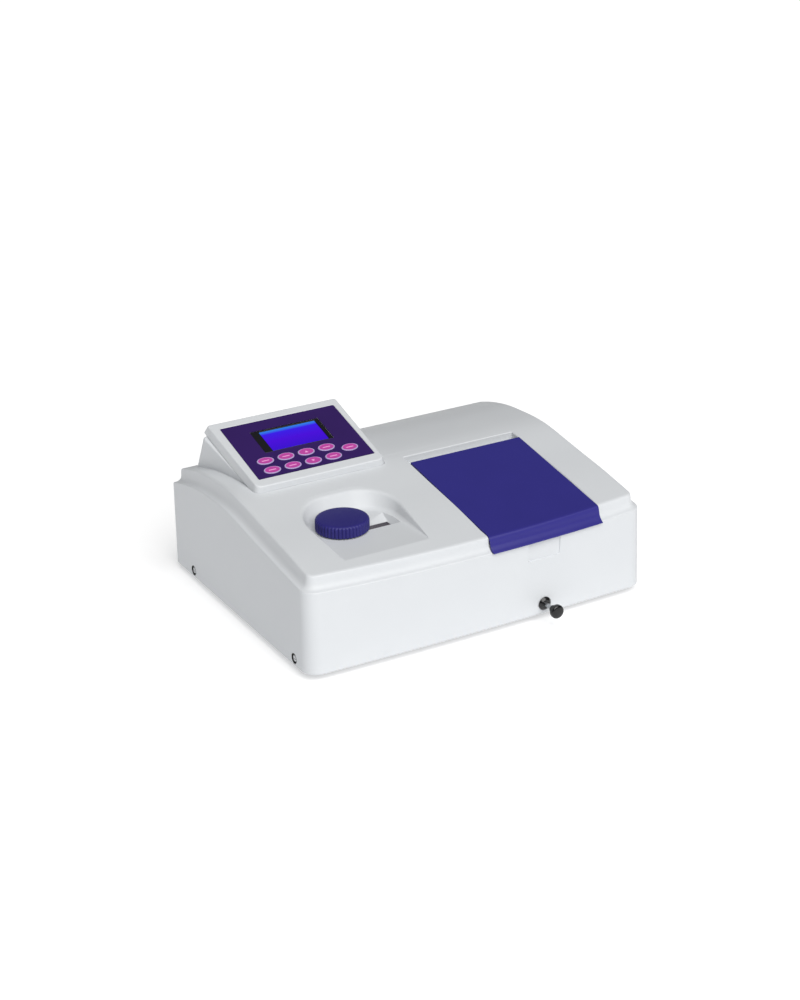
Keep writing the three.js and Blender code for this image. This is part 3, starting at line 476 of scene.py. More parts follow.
# %% [markdown]
# ## The knob's recess
# The recess is a flat floor let into the sloping top, so it is deepest at the back and
# runs out to nothing in front. Its back wall leans and sweeps round in wide corners. The
# cutter's rings follow the top's own slope near the rim, which gives the rim its
# rounding, and open out from the floor in a small fillet.

# %% Recess cutter
FLOOR = 110.5
BOWL = [(110.5, 57, 158.5, 128, 36), (126, 52.5, 166, 139, 43), (142, 48, 171.5, 146, 47)]
BOWL_FRONT, BOWL_FRONT_CORNER = 18.5, 9.0


def bowl_ring(z, grow, steps=16):
    """Plan ring of the recess at height z, moved out by grow, with small front corners."""
    x0, x1, y1, r = (np.interp(z, [b[0] for b in BOWL], [b[k] for b in BOWL]) for k in range(1, 5))
    x0, x1, y1, r = x0 - grow, x1 + grow, y1 + grow, r + grow
    rf = BOWL_FRONT_CORNER
    y0 = BOWL_FRONT - grow
    ring = []
    for cx, cy, radius, start in [(x1 - rf, y0 + rf, rf, -90), (x1 - r, y1 - r, r, 0),
                                  (x0 + r, y1 - r, r, 90), (x0 + rf, y0 + rf, rf, 180)]:
        for a in np.radians(start + 90 * np.arange(steps + 1) / steps):
            ring.append((cx + radius * math.cos(a), cy + radius * math.sin(a)))
    return np.array(ring)


def bowl_cutter(name):
    """The air in the recess and above it."""
    rim = bowl_ring(126, 0)
    for _ in range(3):
        height = top_z(rim[:, 1])
        rim = np.array([bowl_ring(z, 0)[i] for i, z in enumerate(height)])
    height = np.maximum(top_z(rim[:, 1]) - FLOOR, 0.02)
    foot_r, rim_r = np.minimum(4.0, height * 0.4), np.minimum(3.0, height * 0.4)
    rings = []

    def ring(z, grow):
        flat = np.array([bowl_ring(FLOOR + h, g)[i] for i, (h, g) in enumerate(zip(z, grow))])
        rings.append(np.column_stack([flat, FLOOR + z]))

    for a in np.radians([0, 18, 36, 54, 72, 90]):
        ring(foot_r * (1 - math.cos(a)), foot_r * (math.sin(a) - 1))
    for a in np.radians([0, 20, 40, 60, 75]):
        ring(height - rim_r * (1 - math.sin(a)), rim_r * (1 - math.cos(a)))
    lip = math.radians(75)
    ring(height + 0.9, rim_r * (1 - math.cos(lip)) + 0.9 * math.tan(lip) * rim_r / 3)
    top = rings[-1].copy()
    top[:, 2] = 160
    rings.append(top)
    return loft(name, rings)


bowl = bowl_cutter("bowl")
print("recess cutter faces:", len(bowl.data.polygons))

# %% [markdown]
# ## The scale window's pocket
# Beside the knob a shallow pocket runs down to a window over the wavelength dial.
# Behind the window it rises in a ramp, and its right end is a slanted facet.

# %% Pocket cutter
SLOT_X0, SLOT_X1, SLOT_Y0, SLOT_Y1, SLOT_Z = 119, 149, 77, 97.5, 104.4


def pocket_cutter(name):
    """From the window's edge up to a wider rectangle in the recess floor."""
    rings = []
    for share, z in [(0, SLOT_Z), (0.03, SLOT_Z + 0.05), (0.97, FLOOR), (1.0, FLOOR + 0.3)]:
        x0, x1 = SLOT_X0 - 15 * share, SLOT_X1 + 5.5 * share
        y0, y1 = SLOT_Y0 - share, SLOT_Y1 + 12 * share
        rings.append([(x0, y0, z), (x1, y0, z), (x1, y0 + 0.55 * (y1 - y0), z),
                      (x1 - 4.5 * share, y1, z), (x0, y1, z)])
    return loft(name, rings)


# %% [markdown]
# ## The lid's seat
# The lid lies in a step that is cut into the top and down over the front edge. The step
# is a sweep from left to right of one section, whose front follows the bulge of the
# front wall. Its rim gets a small chamfer, the line of light along the lid's edge.

# %% Seat cutters
LID_X0, LID_X1, LID_Y1, LID_CREASE, LID_SLOPE, LID_LIP = 217.4, 360.6, 164.5, 106.4, 0.1755, 90.2
WELL_BACK, WELL_DEEP = 180.3, 10.5
HINGE_Y, HINGE_Z = 160.5, 129.2


def lid_top(y):
    """Height of the lid's upper face."""
    return LID_CREASE + LID_SLOPE * y


def sweep_x(name, x0, x1, section, steps=36):
    """A solid swept from x0 to x1 through sections of y and z that take the bulge."""
    return loft(name, [[(x, y, z) for y, z in section(bow_at(x, BOW_FULL))]
                       for x in np.linspace(x0, x1, steps + 1)])


def seat_section(b):
    """The air over the seat."""
    return [(-20, LID_LIP - 0.8), (1.6 - b, LID_LIP - 0.8),
            (6.5 - b + WELL_DEEP * 0.3, LID_LIP + 3), (9.5 - b, lid_top(9.5 - b) - WELL_DEEP),
            (WELL_BACK, lid_top(WELL_BACK) - WELL_DEEP), (WELL_BACK, 160), (-20, 160)]


def seat_skin_section(b):
    """The plastic under and round the seat."""
    _, _, p, q = seat_section(b)[:4]
    y = WELL_BACK + 3
    return [(p[0] - 4, LID_LIP - 4), (p[0] + 2.5, LID_LIP + 0.5), (q[0] + 3, q[1] - 3.2),
            (y, lid_top(y) - WELL_DEEP - 3), (y, 160), (p[0] - 4, 160)]


def side_chamfer(name, x, outward, y0, size=0.9):
    """A wedge along the top's edge at x, which grows from nothing behind y0."""
    rings = []
    for i, y in enumerate(np.linspace(y0, WELL_BACK + 0.6, 60)):
        s = size * min(1, i / 4) + 0.02
        z = float(top_z(y))
        rings.append([(x + outward * (s + 0.15), y, z + 0.15),
                      (x - outward * 0.15, y, z - s - 0.15), (x - outward * 1.5, y, z + 1.5)])
    return loft(name, rings)


def back_chamfer(name, size=0.9):
    """A wedge along the top's edge behind the lid."""
    z = float(top_z(WELL_BACK))
    return loft(name, [[(x, WELL_BACK + size + 0.15, z + 0.2), (x, WELL_BACK - 0.15, z - size),
                        (x, WELL_BACK - 1.5, z + 1.5)]
                       for x in np.linspace(LID_X0 - 0.4, LID_X1 + 0.4, 12)])


# %% [markdown]
# ## Putting the cover together
# The outside and the pedestal are joined, hollowed by their insides and given skins under
# the recess and the seat. Then every opening is cut: the window, the knob's shaft hole,
# the compartment's mouth, the console's opening, the rod's hole, the rear window for
# the socket panel, a shallow finger recess under the lid's lip and the screw holes.

# %% Build the cover
KNOB_X, KNOB_Y = 92, 92
ROD_X, ROD_Z = 285.9, 12.3
SCREW_Z = 7.9
SCREWS = [(y, side) for y in (33.8, 287.9) for side in (0, 1)]


def finger_recess(name):
    """A shallow tapered pocket in the front wall."""
    rings = []
    for y, inset, r in [(-14, 0, 3), (-8.6, 0.3, 3), (2 - bow_at(284, 60), 2, 2.5)]:
        x0, x1, z0, z1 = 262 + inset, 306 - inset, 66 + inset, 95
        ring = []
        for cx, cz, start in [(x1 - r, z0 + r, -90), (x1 - r, z1 - r, 0), (x0 + r, z1 - r, 90),
                              (x0 + r, z0 + r, 180)]:
            for a in np.radians(start + np.arange(0, 91, 15)):
                ring.append((cx + r * math.cos(a), y, cz + r * math.sin(a)))
        rings.append(ring)
    return loft(name, rings)


def console_opening(name):
    """The hole in the pedestal's top under the slab."""
    return loft(name, [[on_console(u, v, w) for u, v in [(5, 4), (151.5, 4), (151.5, 112), (5, 112)]]
                       for w in (-30, 5)])


def screw_cut(name, y, side):
    """Counterbore and hole of one side screw."""
    x = side * WIDTH
    inwards = -1 if side else 1
    sink = bar(name + "_sink", "x", (y, SCREW_Z), 6, *sorted((x - inwards, x + 2.1 * inwards)))
    hole = bar(name + "_hole", "x", (y, SCREW_Z), 1.9, x - 6, x + 6)
    return [("DIFFERENCE", sink), ("DIFFERENCE", hole)]


skin_limit = outside.copy()
skin_limit.data = outside.data.copy()
bpy.context.scene.collection.objects.link(skin_limit)
skins = loft("bowl_skin", [[(x, y, z) for x, y in bowl_ring(z + 3 * (z < 110), 3)]
                           for z in (107.5, 126, 142)])
combine(skins, ("UNION", box("pocket_skin", 100, 164, 72, 114, SLOT_Z - 3, 112)),
        ("UNION", sweep_x("seat_skin", LID_X0 - 3.4, LID_X1 + 3.4, seat_skin_section)),
        ("INTERSECT", skin_limit))
cuts = [bowl, pocket_cutter("pocket"),
        box("window", SLOT_X0, SLOT_X1, SLOT_Y0, SLOT_Y1, SLOT_Z - 8, SLOT_Z + 2),
        bar("shaft_hole", "z", (KNOB_X, KNOB_Y), 3.6, 100, 115),
        sweep_x("seat", LID_X0 - 0.4, LID_X1 + 0.4, seat_section),
        side_chamfer("edge_left", LID_X0 - 0.4, -1, 3.2),
        side_chamfer("edge_right", LID_X1 + 0.4, 1, 9.0), back_chamfer("edge_back"),
        box("mouth", 226, 352, 16, 150, 85, 140),
        bar("hinge_hole", "x", (HINGE_Y, HINGE_Z), 1.95, 205, 375),
        console_opening("console_hole"),
        loft("slab_seat", [slab_ring(-CONSOLE_THICK - 0.3, 3.1), slab_ring(2, 0.3)]),
        box("rear_window", 238, 402, DEPTH - 12, DEPTH + 4, 12, 84),
        bar("rod_hole", "y", (ROD_X, ROD_Z), 5.3, -20, 12), finger_recess("finger_recess")]
top_cover = combine(
    outside, ("UNION", pedestal("pedestal_out", 0, 1.6)), ("DIFFERENCE", inside),
    ("DIFFERENCE", pedestal("pedestal_in", -3)), ("UNION", skins),
    *[("DIFFERENCE", cut) for cut in cuts],
    *[step for i, (y, side) in enumerate(SCREWS) for step in screw_cut(f"screw_{i}", y, side)])
top_cover.name = "cover_moulding"
smooth(top_cover, 34)
finish_piece(top_cover, white_abs, "root", ["top_cover"])

# %% [markdown]
# ## Console slab
# The slab is a separate moulding that screws on from below. Its sides lean out a little
# to the bottom, its front corners are round and its top edge has a two millimetre
# rounding, which draws the bright line along its front. A shallow tray in its top takes
# the keypad film, and one hole takes each key.

# %% Console helpers
KEY_A, KEY_B = 10.05, 6.15
KEY_SPOTS = [(29.3 + 25.1 * i, v) for v in (41.4, 23.8) for i in range(4)] + [(129.5, 32.6)]
FILM, LCD, GLASS = (7.9, 12.9, 142.7, 100.9), (36.4, 55.4, 84.9, 41), (46.6, 56.8, 69.2, 36.8)


def console_plate(name, spot, levels, r=1.5):
    """A rounded rectangle of the console's plane through levels of height and growth."""
    u, v, width, length = spot
    rings = []
    for w, grow in levels:
        corners = [on_console(a, b, w) for a, b in
                   [(u - grow, v - grow), (u + width + grow, v - grow),
                    (u + width + grow, v + length + grow), (u - grow, v + length + grow)]]
        rings.append(rounded_quad(corners, [r] * 4))
    return loft(name, rings)


def oval(name, spot, levels, steps=56):
    """An oval solid of the console's plane through levels of height and growth."""
    turns = 2 * math.pi * np.arange(steps) / steps
    return loft(name, [[on_console(spot[0] + (KEY_A + g) * math.cos(a),
                                   spot[1] + (KEY_B + g) * math.sin(a), w) for a in turns]
                       for w, g in levels])


def key_holes(name):
    """One cutter for each key, a little wider than the key."""
    return [("DIFFERENCE", oval(f"{name}_{i}", spot, [(-9, 0.3), (1, 0.3)]))
            for i, spot in enumerate(KEY_SPOTS)]


def print_map(obj, centre):
    """A UV layer that holds the console's u and v in metres from a centre, plus a half."""
    origin = to_frame(on_console(*centre, 0))
    along_u, along_v = np.array([1, 0, 0]), np.array([0, math.cos(TILT), math.sin(TILT)])
    layer = obj.data.uv_layers.new(name="print")
    for loop in obj.data.loops:
        offset = np.array(obj.data.vertices[loop.vertex_index].co) - origin
        layer.data[loop.index].uv = (offset @ along_u + 0.5, offset @ along_v + 0.5)


# %% Console slab
EDGE = 2.0
edge_levels = [(-CONSOLE_THICK, 2.3), (-CONSOLE_THICK + 0.5, 2.7)]
for a in np.radians([0, 15, 30, 45, 60, 75, 90]):
    edge_levels.append((EDGE * (math.sin(a) - 1), 0.5 - EDGE * (1 - math.cos(a))))
underside = loft("underside", [[on_console(u, v, w) for u, v in
                                [(7, 6), (149.5, 6), (149.5, 119), (7, 119)]] for w in (-12.5, -5)])
console_slab = combine(
    loft("console_slab", [slab_ring(w, grow) for w, grow in edge_levels]),
    ("DIFFERENCE", underside),
    ("DIFFERENCE", console_plate("film_tray", FILM, [(-0.8, 0.3), (-0.4, 0.3), (0.1, 0.8), (2, 0.8)])),
    ("DIFFERENCE", console_plate("display_hole", LCD, [(-9, 0.3), (1, 0.3)])),
    *key_holes("slab_hole"))
smooth(console_slab)
finish_piece(console_slab, white_abs, "root", ["console_bezel"])

# %% [markdown]
# ## Keypad film
# The film is polyester, printed purple on its back, so it has a fine satin surface over a
# deep even colour. It is 0.4 mm thick with a window for the display and oval holes where
# the domed keys come through.

# %% Keypad film
film_print = moulded_plastic("printed_purple_polyester", "#2a1750", "#331a5e", 0.34, 0.7, 0.006,
                             0.3, 50)
film = combine(
    console_plate("keypad_film", FILM, [(-0.5, 0), (-0.16, 0), (-0.1, -0.1)]),
    ("DIFFERENCE", console_plate("film_window", LCD, [(-9, 0.3), (1, 0.3)])),
    *key_holes("film_hole"))
smooth(film)
finish_piece(film, film_print, "root", ["keypad_overlay"])

# %% [markdown]
# ## Keys
# Each key is an oval pad with a raised, silvery rim round a pink face. Plain marks stand
# for what is printed on them: a bar on most, and an arrow head up or down on two. The
# marks are drawn by the material from the print map, so they need no picture.

# %% Key material
def key_print(name, mark):
    """A pink satin face with a lilac rim and a light mark: bar, up or down."""
    material, out = new_material(name)
    place = add_node(material, "ShaderNodeTexCoord").outputs["UV"]
    millimetres = add_node(material, "ShaderNodeVectorMath",
                           {0: place, 1: (1000,) * 3, 2: (-500,) * 3}, operation="MULTIPLY_ADD")
    split = add_node(material, "ShaderNodeSeparateXYZ", {0: millimetres.outputs[0]})

    def maths(operation, a, b=0.0):
        return add_node(material, "ShaderNodeMath", {0: a, 1: b}, operation=operation).outputs[0]

    x, y = split.outputs[0], split.outputs[1]
    across, down = maths("DIVIDE", x, KEY_A), maths("DIVIDE", y, KEY_B)
    radius = maths("SQRT", maths("ADD", maths("POWER", maths("ABSOLUTE", across), 2.0),
                                 maths("POWER", maths("ABSOLUTE", down), 2.0)))
    if mark == "bar":
        in_x, in_y = maths("LESS_THAN", maths("ABSOLUTE", x), 4.4), maths(
            "LESS_THAN", maths("ABSOLUTE", y), 0.75)
        drawn = maths("MULTIPLY", in_x, in_y)
    else:
        tip = maths("MULTIPLY", y, 1.0 if mark == "up" else -1.0)
        side = maths("MULTIPLY", maths("SUBTRACT", 1.9, tip), 0.62)
        inside = maths("LESS_THAN", maths("ABSOLUTE", x), side)
        drawn = maths("MULTIPLY", inside, maths("GREATER_THAN", tip, -1.7))
    speckle = add_node(material, "ShaderNodeTexNoise", {"Vector": millimetres.outputs[0],
                                                        "Scale": 1.1, "Detail": 2.0})
    face = add_node(material, "ShaderNodeMix", {0: speckle.outputs["Fac"], 6: linear("#a83a90"),
                                                7: linear("#c04ca4")}, data_type="RGBA")
    marked = add_node(material, "ShaderNodeMix", {0: drawn, 6: face.outputs[2],
                                                  7: linear("#e79ad2")}, data_type="RGBA")
    on_rim = add_node(material, "ShaderNodeMapRange", {0: radius, 1: 0.82, 2: 0.90})
    coloured = add_node(material, "ShaderNodeMix", {0: on_rim.outputs[0], 6: marked.outputs[2],
                                                    7: linear("#b3a0d0")}, data_type="RGBA")
    skin = add_node(material, "ShaderNodeBsdfPrincipled",
                    {"Base Color": coloured.outputs[2], "Roughness": 0.32, "IOR": 1.5})
    material.node_tree.links.new(skin.outputs[0], out.inputs[0])
    return material


bar_key, up_key, down_key = [key_print(f"printed_pink_key_{m}", m) for m in ("bar", "up", "down")]

# %% Keys
KEY_LEVELS = [(-4.4, 0), (0.25, 0), (0.5, -0.15), (0.66, -0.45), (0.7, -0.8), (0.64, -1.2),
              (0.5, -1.6), (0.46, -2.2), (0.5, -4.5)]
for i, spot in enumerate(KEY_SPOTS):
    key = oval(f"key_pad_{i + 1}", spot, KEY_LEVELS)
    print_map(key, spot)
    smooth(key, 50)
    finish_piece(key, {2: up_key, 6: down_key}.get(i, bar_key), f"key_{i + 1}_cap",
                 [f"key_{i + 1}"])

# %% [markdown]
# ## Display
# A black pressed frame holds a blue backlit liquid crystal cell. The light comes from an
# edge lamp, so it is a little stronger and paler along the top. The fine lattice is the
# cell's dot pitch of 0.55 mm.

# %% Display
def backlit_cell(name):
    """Lit blue glass with a paler upper edge and a faint dot lattice."""
    material, out = new_material(name)
    place = add_node(material, "ShaderNodeTexCoord").outputs["UV"]
    millimetres = add_node(material, "ShaderNodeVectorMath",
                           {0: place, 1: (1000,) * 3, 2: (-500,) * 3}, operation="MULTIPLY_ADD")
    split = add_node(material, "ShaderNodeSeparateXYZ", {0: millimetres.outputs[0]})
    rise = add_node(material, "ShaderNodeMapRange", {0: split.outputs[1], 1: -18.0, 2: 18.0})
    glow = add_node(material, "ShaderNodeValToRGB", {0: rise.outputs[0]})
    ramp = glow.color_ramp
    ramp.elements[0].color, ramp.elements[1].color = linear("#3a04d4"), linear("#2f8af0")
    for position, colour in ((0.45, "#4a00e0"), (0.84, "#3a18ee")):
        ramp.elements.new(position).color = linear(colour)
    dots = add_node(material, "ShaderNodeTexBrick",
                    {"Vector": millimetres.outputs[0], "Scale": 1 / 0.55, "Color1": (1, 1, 1, 1),
                     "Color2": (1, 1, 1, 1), "Mortar": (0.86, 0.86, 0.86, 1), "Mortar Size": 0.08,
                     "Brick Width": 1.0, "Row Height": 1.0}, offset=0.0)
    lit = add_node(material, "ShaderNodeMix", {0: 1.0, 6: glow.outputs[0], 7: dots.outputs[0]},
                   data_type="RGBA", blend_type="MULTIPLY")
    cell = add_node(material, "ShaderNodeBsdfPrincipled",
                    {"Base Color": linear("#08041c"), "Roughness": 0.12, "IOR": 1.5,
                     "Specular IOR Level": 0.3, "Emission Color": lit.outputs[2],
                     "Emission Strength": 0.95})
    material.node_tree.links.new(cell.outputs[0], out.inputs[0])
    return material


black_abs = moulded_plastic("black_abs", "#0a0a0c", "#101013", 0.42, 0.8, 0.02, 0.4)
lcd_frame = combine(
    console_plate("display_frame", LCD, [(-4, 0), (-0.5, 0), (-0.2, -0.3)]),
    ("DIFFERENCE", console_plate("display_window", GLASS, [(-9, 0.3), (-0.7, 0.3), (0.2, 1.2)], 0.8)))
smooth(lcd_frame)
finish_piece(lcd_frame, black_abs, "root", ["lcd_frame"])
lcd_cell = console_plate("display_cell", GLASS, [(-3.6, 0), (-0.95, 0), (-0.8, -0.15)], 0.6)
print_map(lcd_cell, (GLASS[0] + GLASS[2] / 2, GLASS[1] + GLASS[3] / 2))
smooth(lcd_cell)
finish_piece(lcd_cell, backlit_cell("backlit_liquid_crystal_cell"), "root",
             ["lcd_glass"])

# %% [markdown]
# ## Compartment lid
# The lid is a blue moulding three millimetres thick. Its top continues the cover's slope,
# and in front it bends down in a hollow lip that is the finger hold. It is one section
# swept from side to side with the bulge of the front, and the section shrinks at both
# ends, which rounds the lid's edges. Two side skirts run back to the hinge pin.

# %% Lid
LID_THICK = 3.0


def lid_section(b, inset=0.0):
    """The lid's section at a place where the front bulges by b, drawn in by an inset."""
    crest = lid_top(10 - b)
    lip = spline([(22 - b, lid_top(22 - b)), (14 - b, lid_top(14 - b)), (10.2 - b, crest - 0.1),
                  (8.3 - b, lid_top(8.4 - b) - 0.9), (6.9 - b, LID_CREASE - 3.6),
                  (5.2 - b, LID_CREASE - 9.5), (2.2 - b, LID_LIP + 3), (-0.6 - b, LID_LIP + 0.9),
                  (-1 - b, LID_LIP)], 5)
    under = [(2.6 - b + 0.4, LID_LIP), (5.4 - b, LID_LIP + 2), (8.6 - b, lid_top(8) - 5.4),
             (12 - b, lid_top(12) - LID_THICK), (LID_Y1, lid_top(LID_Y1) - LID_THICK),
             (LID_Y1, lid_top(LID_Y1) - 0.6), (LID_Y1 - 0.6, lid_top(LID_Y1 - 0.6))]
    section = np.array([*lip, *under])
    if not inset:
        return section
    before, after = np.roll(section, 1, 0), np.roll(section, -1, 0)
    along = after - before
    along /= np.linalg.norm(along, axis=1)[:, None]
    inward = np.column_stack([along[:, 1], -along[:, 0]])
    area = np.sum(before[:, 0] * section[:, 1] - section[:, 0] * before[:, 1])
    return section + inset * inward * (-1 if area > 0 else 1)


def lid_shell(name, steps=44, round_off=0.35):
    """The lid's top and lip, with rounded left and right edges."""
    rings = []
    left = [(LID_X0 + round_off * (1 - math.cos(a)), round_off * (1 - math.sin(a)))
            for a in np.radians([0, 30, 60, 90])]
    spans = left + [(x, 0.0) for x in np.linspace(LID_X0 + 2, LID_X1 - 2, steps)]
    spans += [(LID_X0 + LID_X1 - x, inset) for x, inset in reversed(left)]
    for x, inset in spans:
        rings.append([(x, y, z) for y, z in lid_section(bow_at(x, BOW_FULL), inset)])
    return loft(name, rings)


def lid_skirt(name, x0):
    """A side wall of the lid, which runs back round the hinge pin."""
    b = bow_at(x0, BOW_FULL)
    top = lid_top(HINGE_Y)
    section = [(12 - b, lid_top(12) - 6.4), (HINGE_Y - 3.6, top - 8.4), (HINGE_Y + 1, top - 8.4),
               (HINGE_Y + 3.2, top - 6), (HINGE_Y + 3.2, top - 1), (12 - b, lid_top(12) - 1)]
    return loft(name, [[(x, y, z) for y, z in section] for x in (x0, x0 + 2.5)])


lid_blue = moulded_plastic("grained_blue_abs", "#2b2877", "#2f2b7e", 0.38, 0.9, 0.02, 0.35, 45)
lid = combine(lid_shell("lid_moulding"), ("UNION", lid_skirt("skirt_left", LID_X0 + 0.3)),
              ("UNION", lid_skirt("skirt_right", LID_X1 - 2.8)),
              ("DIFFERENCE", bar("pin_bore", "x", (HINGE_Y, HINGE_Z), 2.0, 200, 380)))
smooth(lid, 40)
finish_piece(lid, lid_blue, "lid", ["compartment_lid"])

# %% [markdown]
# ## Wavelength knob
# The knob is turned by finger tips, so its rim has forty-four ribs, which fade out into a
# smooth, slightly domed top. Underneath it is hollow, with a boss for the shaft.

# %% Knob
KNOB_R, KNOB_Z0, RIBS, RIB_STEPS = 29.2, 112.0, 44, 8
# height above the foot, growth of the radius, depth of the ribs
KNOB_LEVELS = [(0, -0.7, 0.7), (0.6, 0, 1.1), (9.6, 0, 1.1), (10.6, -0.15, 1.05), (11.5, -0.6, 0.75),
               (12.2, -1.3, 0.35), (12.7, -2.3, 0.08), (13, -3.6, 0), (13.2, -7, 0), (13.5, -15, 0),
               (13.6, -26, 0)]


def ribbed_ring(z, grow, depth):
    """A circle whose radius dips between rounded ribs."""
    ring = []
    for i in range(RIBS * RIB_STEPS):
        a = 2 * math.pi * i / (RIBS * RIB_STEPS)
        dip = 1 - abs(math.cos(a * RIBS / 2)) ** 0.7
        r = KNOB_R + grow - depth * dip
        ring.append((KNOB_X + r * math.cos(a), KNOB_Y + r * math.sin(a), z))
    return ring


knob = loft("knob_moulding", [ribbed_ring(KNOB_Z0 + z, grow, depth) for z, grow, depth in KNOB_LEVELS])
knob_centre = (KNOB_X, KNOB_Y)
combine(knob, ("DIFFERENCE", bar("knob_hollow", "z", knob_centre, KNOB_R - 4, 111, 120, 64)),
        ("UNION", bar("knob_boss", "z", knob_centre, 8, 112.2, 121)),
        ("DIFFERENCE", bar("knob_bore", "z", knob_centre, 3.05, 110, 119)))
smooth(knob, 50)
knob_blue = moulded_plastic("satin_blue_abs", "#28246a", "#2c2872", 0.46, 0.7, 0.02, 0.3, 30)
finish_piece(knob, knob_blue, "knob", ["wavelength_knob"])

# %% [markdown]
# ## Scale window and dial
# A smoked acrylic pane stands in the slot beside the knob, over a printed dial that turns
# with the drive gear. The dial has a dark face with fine divisions and plain numbers.

# %% Scale window
def smoked_acrylic(name):
    """Dark plum acrylic that lets a little light through, polished with faint waves."""
    material, out = new_material(name)
    place = add_node(material, "ShaderNodeTexCoord").outputs["Object"]
    wave = add_node(material, "ShaderNodeTexNoise", {"Vector": place, "Scale": 1 / (9 * MM)})
    tint = add_node(material, "ShaderNodeMix", {0: wave.outputs["Fac"], 6: linear("#2a1d2e"),
                                                7: linear("#45344a")}, data_type="RGBA")
    pane = add_node(material, "ShaderNodeBsdfPrincipled",
                    {"Base Color": tint.outputs[2], "Roughness": 0.08, "IOR": 1.49,
                     "Transmission Weight": 0.45})
    material.node_tree.links.new(pane.outputs[0], out.inputs[0])
    return material


pane = combine(
    box("scale_pane", SLOT_X0 - 4, SLOT_X1 + 4, SLOT_Y0 - 3, SLOT_Y1 + 3, SLOT_Z - 5, SLOT_Z - 3.3),
    ("UNION", loft("raised_pane", [[(SLOT_X0 + g, SLOT_Y0 + g, z), (SLOT_X1 - g, SLOT_Y0 + g, z),
                                    (SLOT_X1 - g, SLOT_Y1 - g, z), (SLOT_X0 + g, SLOT_Y1 - g, z)]
                                   for g, z in [(0.2, SLOT_Z - 4), (0.2, SLOT_Z - 0.4),
                                                (0.5, SLOT_Z - 0.15)]])))
smooth(pane)
finish_piece(pane, smoked_acrylic("smoked_acrylic"), "root", ["scale_window"])

# %% [markdown]
# ## Dial print
# The print is a dark polyester disc glued on the gear, 0.3 mm thick. Its divisions are
# small raised blocks every three degrees, longer at every fifth, and its numbers are text
# turned to mesh. They stand on a circle that passes under the window.

# %% Dial face
DIAL_X, DIAL_Y, DIAL_TOP = 138.0, 107.5, 98.5
DIVISION_OUT, NUMBER_R, NUMBER_SIZE = 29.0, 23.2, 3.4
ring_steps = 2 * math.pi * np.arange(96) / 96
dial_face = loft("dial_face", [[(DIAL_X + r * math.cos(a), DIAL_Y + r * math.sin(a), z)
                                for a in ring_steps]
                               for r, z in [(36, DIAL_TOP + 0.02), (36, DIAL_TOP + 0.22),
                                            (35.8, DIAL_TOP + 0.3)]])
combine(dial_face, ("DIFFERENCE", bar("dial_hole", "z", (DIAL_X, DIAL_Y), 4.2, 95, 105)))
dial_print = moulded_plastic("printed_black_polyester", "#151217", "#1b171d", 0.5, 0.6, 0.005, 0.3)
finish_piece(smooth(dial_face), dial_print, "dial", [])


def dial_marks(name):
    """Divisions every three degrees and a number every thirty, as thin raised print."""
    points, faces = [], []
    for i in range(120):
        a = math.radians(3 * i)
        inner, half = (27.2 if i % 5 else 25.8), 0.14
        radial, across = np.array([math.cos(a), math.sin(a)]), np.array([-math.sin(a), math.cos(a)])
        for z in (DIAL_TOP + 0.3, DIAL_TOP + 0.38):
            for r, s in ((inner, -half), (DIVISION_OUT, -half), (DIVISION_OUT, half),
                         (inner, half)):
                points.append((*(np.array([DIAL_X, DIAL_Y]) + radial * r + across * s), z))
        k = 8 * i
        faces += [(k + 3, k + 2, k + 1, k), (k + 4, k + 5, k + 6, k + 7)]
        faces += [(k + j, k + (j + 1) % 4, k + 4 + (j + 1) % 4, k + 4 + j) for j in range(4)]
    marks = mesh_object(name, points, faces)
    numbers = []
    for i in range(12):
        text = bpy.data.curves.new(f"number_{i}", "FONT")
        text.body, text.size, text.extrude = str(300 + 50 * i), NUMBER_SIZE * MM, 0.04 * MM
        text.align_x, text.align_y = "CENTER", "CENTER"
        a = math.radians(30 * i)
        spot = to_frame((DIAL_X + NUMBER_R * math.cos(a), DIAL_Y + NUMBER_R * math.sin(a),
                         DIAL_TOP + 0.34))
        label = bpy.data.objects.new(f"number_{i}", text)
        label.matrix_world = Matrix.Translation(spot) @ Matrix.Rotation(a + math.pi / 2, 4, "Z")
        bpy.context.scene.collection.objects.link(label)
        bpy.context.view_layer.update()
        shape = bpy.data.meshes.new_from_object(
            label.evaluated_get(bpy.context.evaluated_depsgraph_get()))
        shape.transform(label.matrix_world)
        numbers.append(shape)
        bpy.data.objects.remove(label)
    joined = bmesh.new()
    for shape in [marks.data, *numbers]:
        joined.from_mesh(shape)
    bmesh.ops.remove_doubles(joined, verts=joined.verts, dist=1e-7)
    joined.to_mesh(marks.data)
    joined.free()
    return marks


marks_print = moulded_plastic("printed_ivory_ink", "#d9d6c8", "#e4e1d4", 0.55, 0.5, 0.004, 0.3)
finish_piece(dial_marks("dial_marks"), marks_print, "dial", [])

# %% [markdown]
# ## Turned pieces
# The pull rod's knob, its bush, the cover screws and the feet are all round, so each is
# one profile turned about its axis. Small roundings in the profiles catch the light.

# %% Turning helper
def turned(name, axis, centre, profile, steps=56):
    """A solid of revolution; the profile holds radius and place along the axis."""
    rings = []
    for r, along in profile:
        ring = []
        for a in 2 * math.pi * np.arange(steps) / steps:
            p, q = centre[0] + r * math.cos(a), centre[1] + r * math.sin(a)
            ring.append({"x": (along, p, q), "y": (p, along, q), "z": (p, q, along)}[axis])
        rings.append(ring)
    return loft(name, rings)


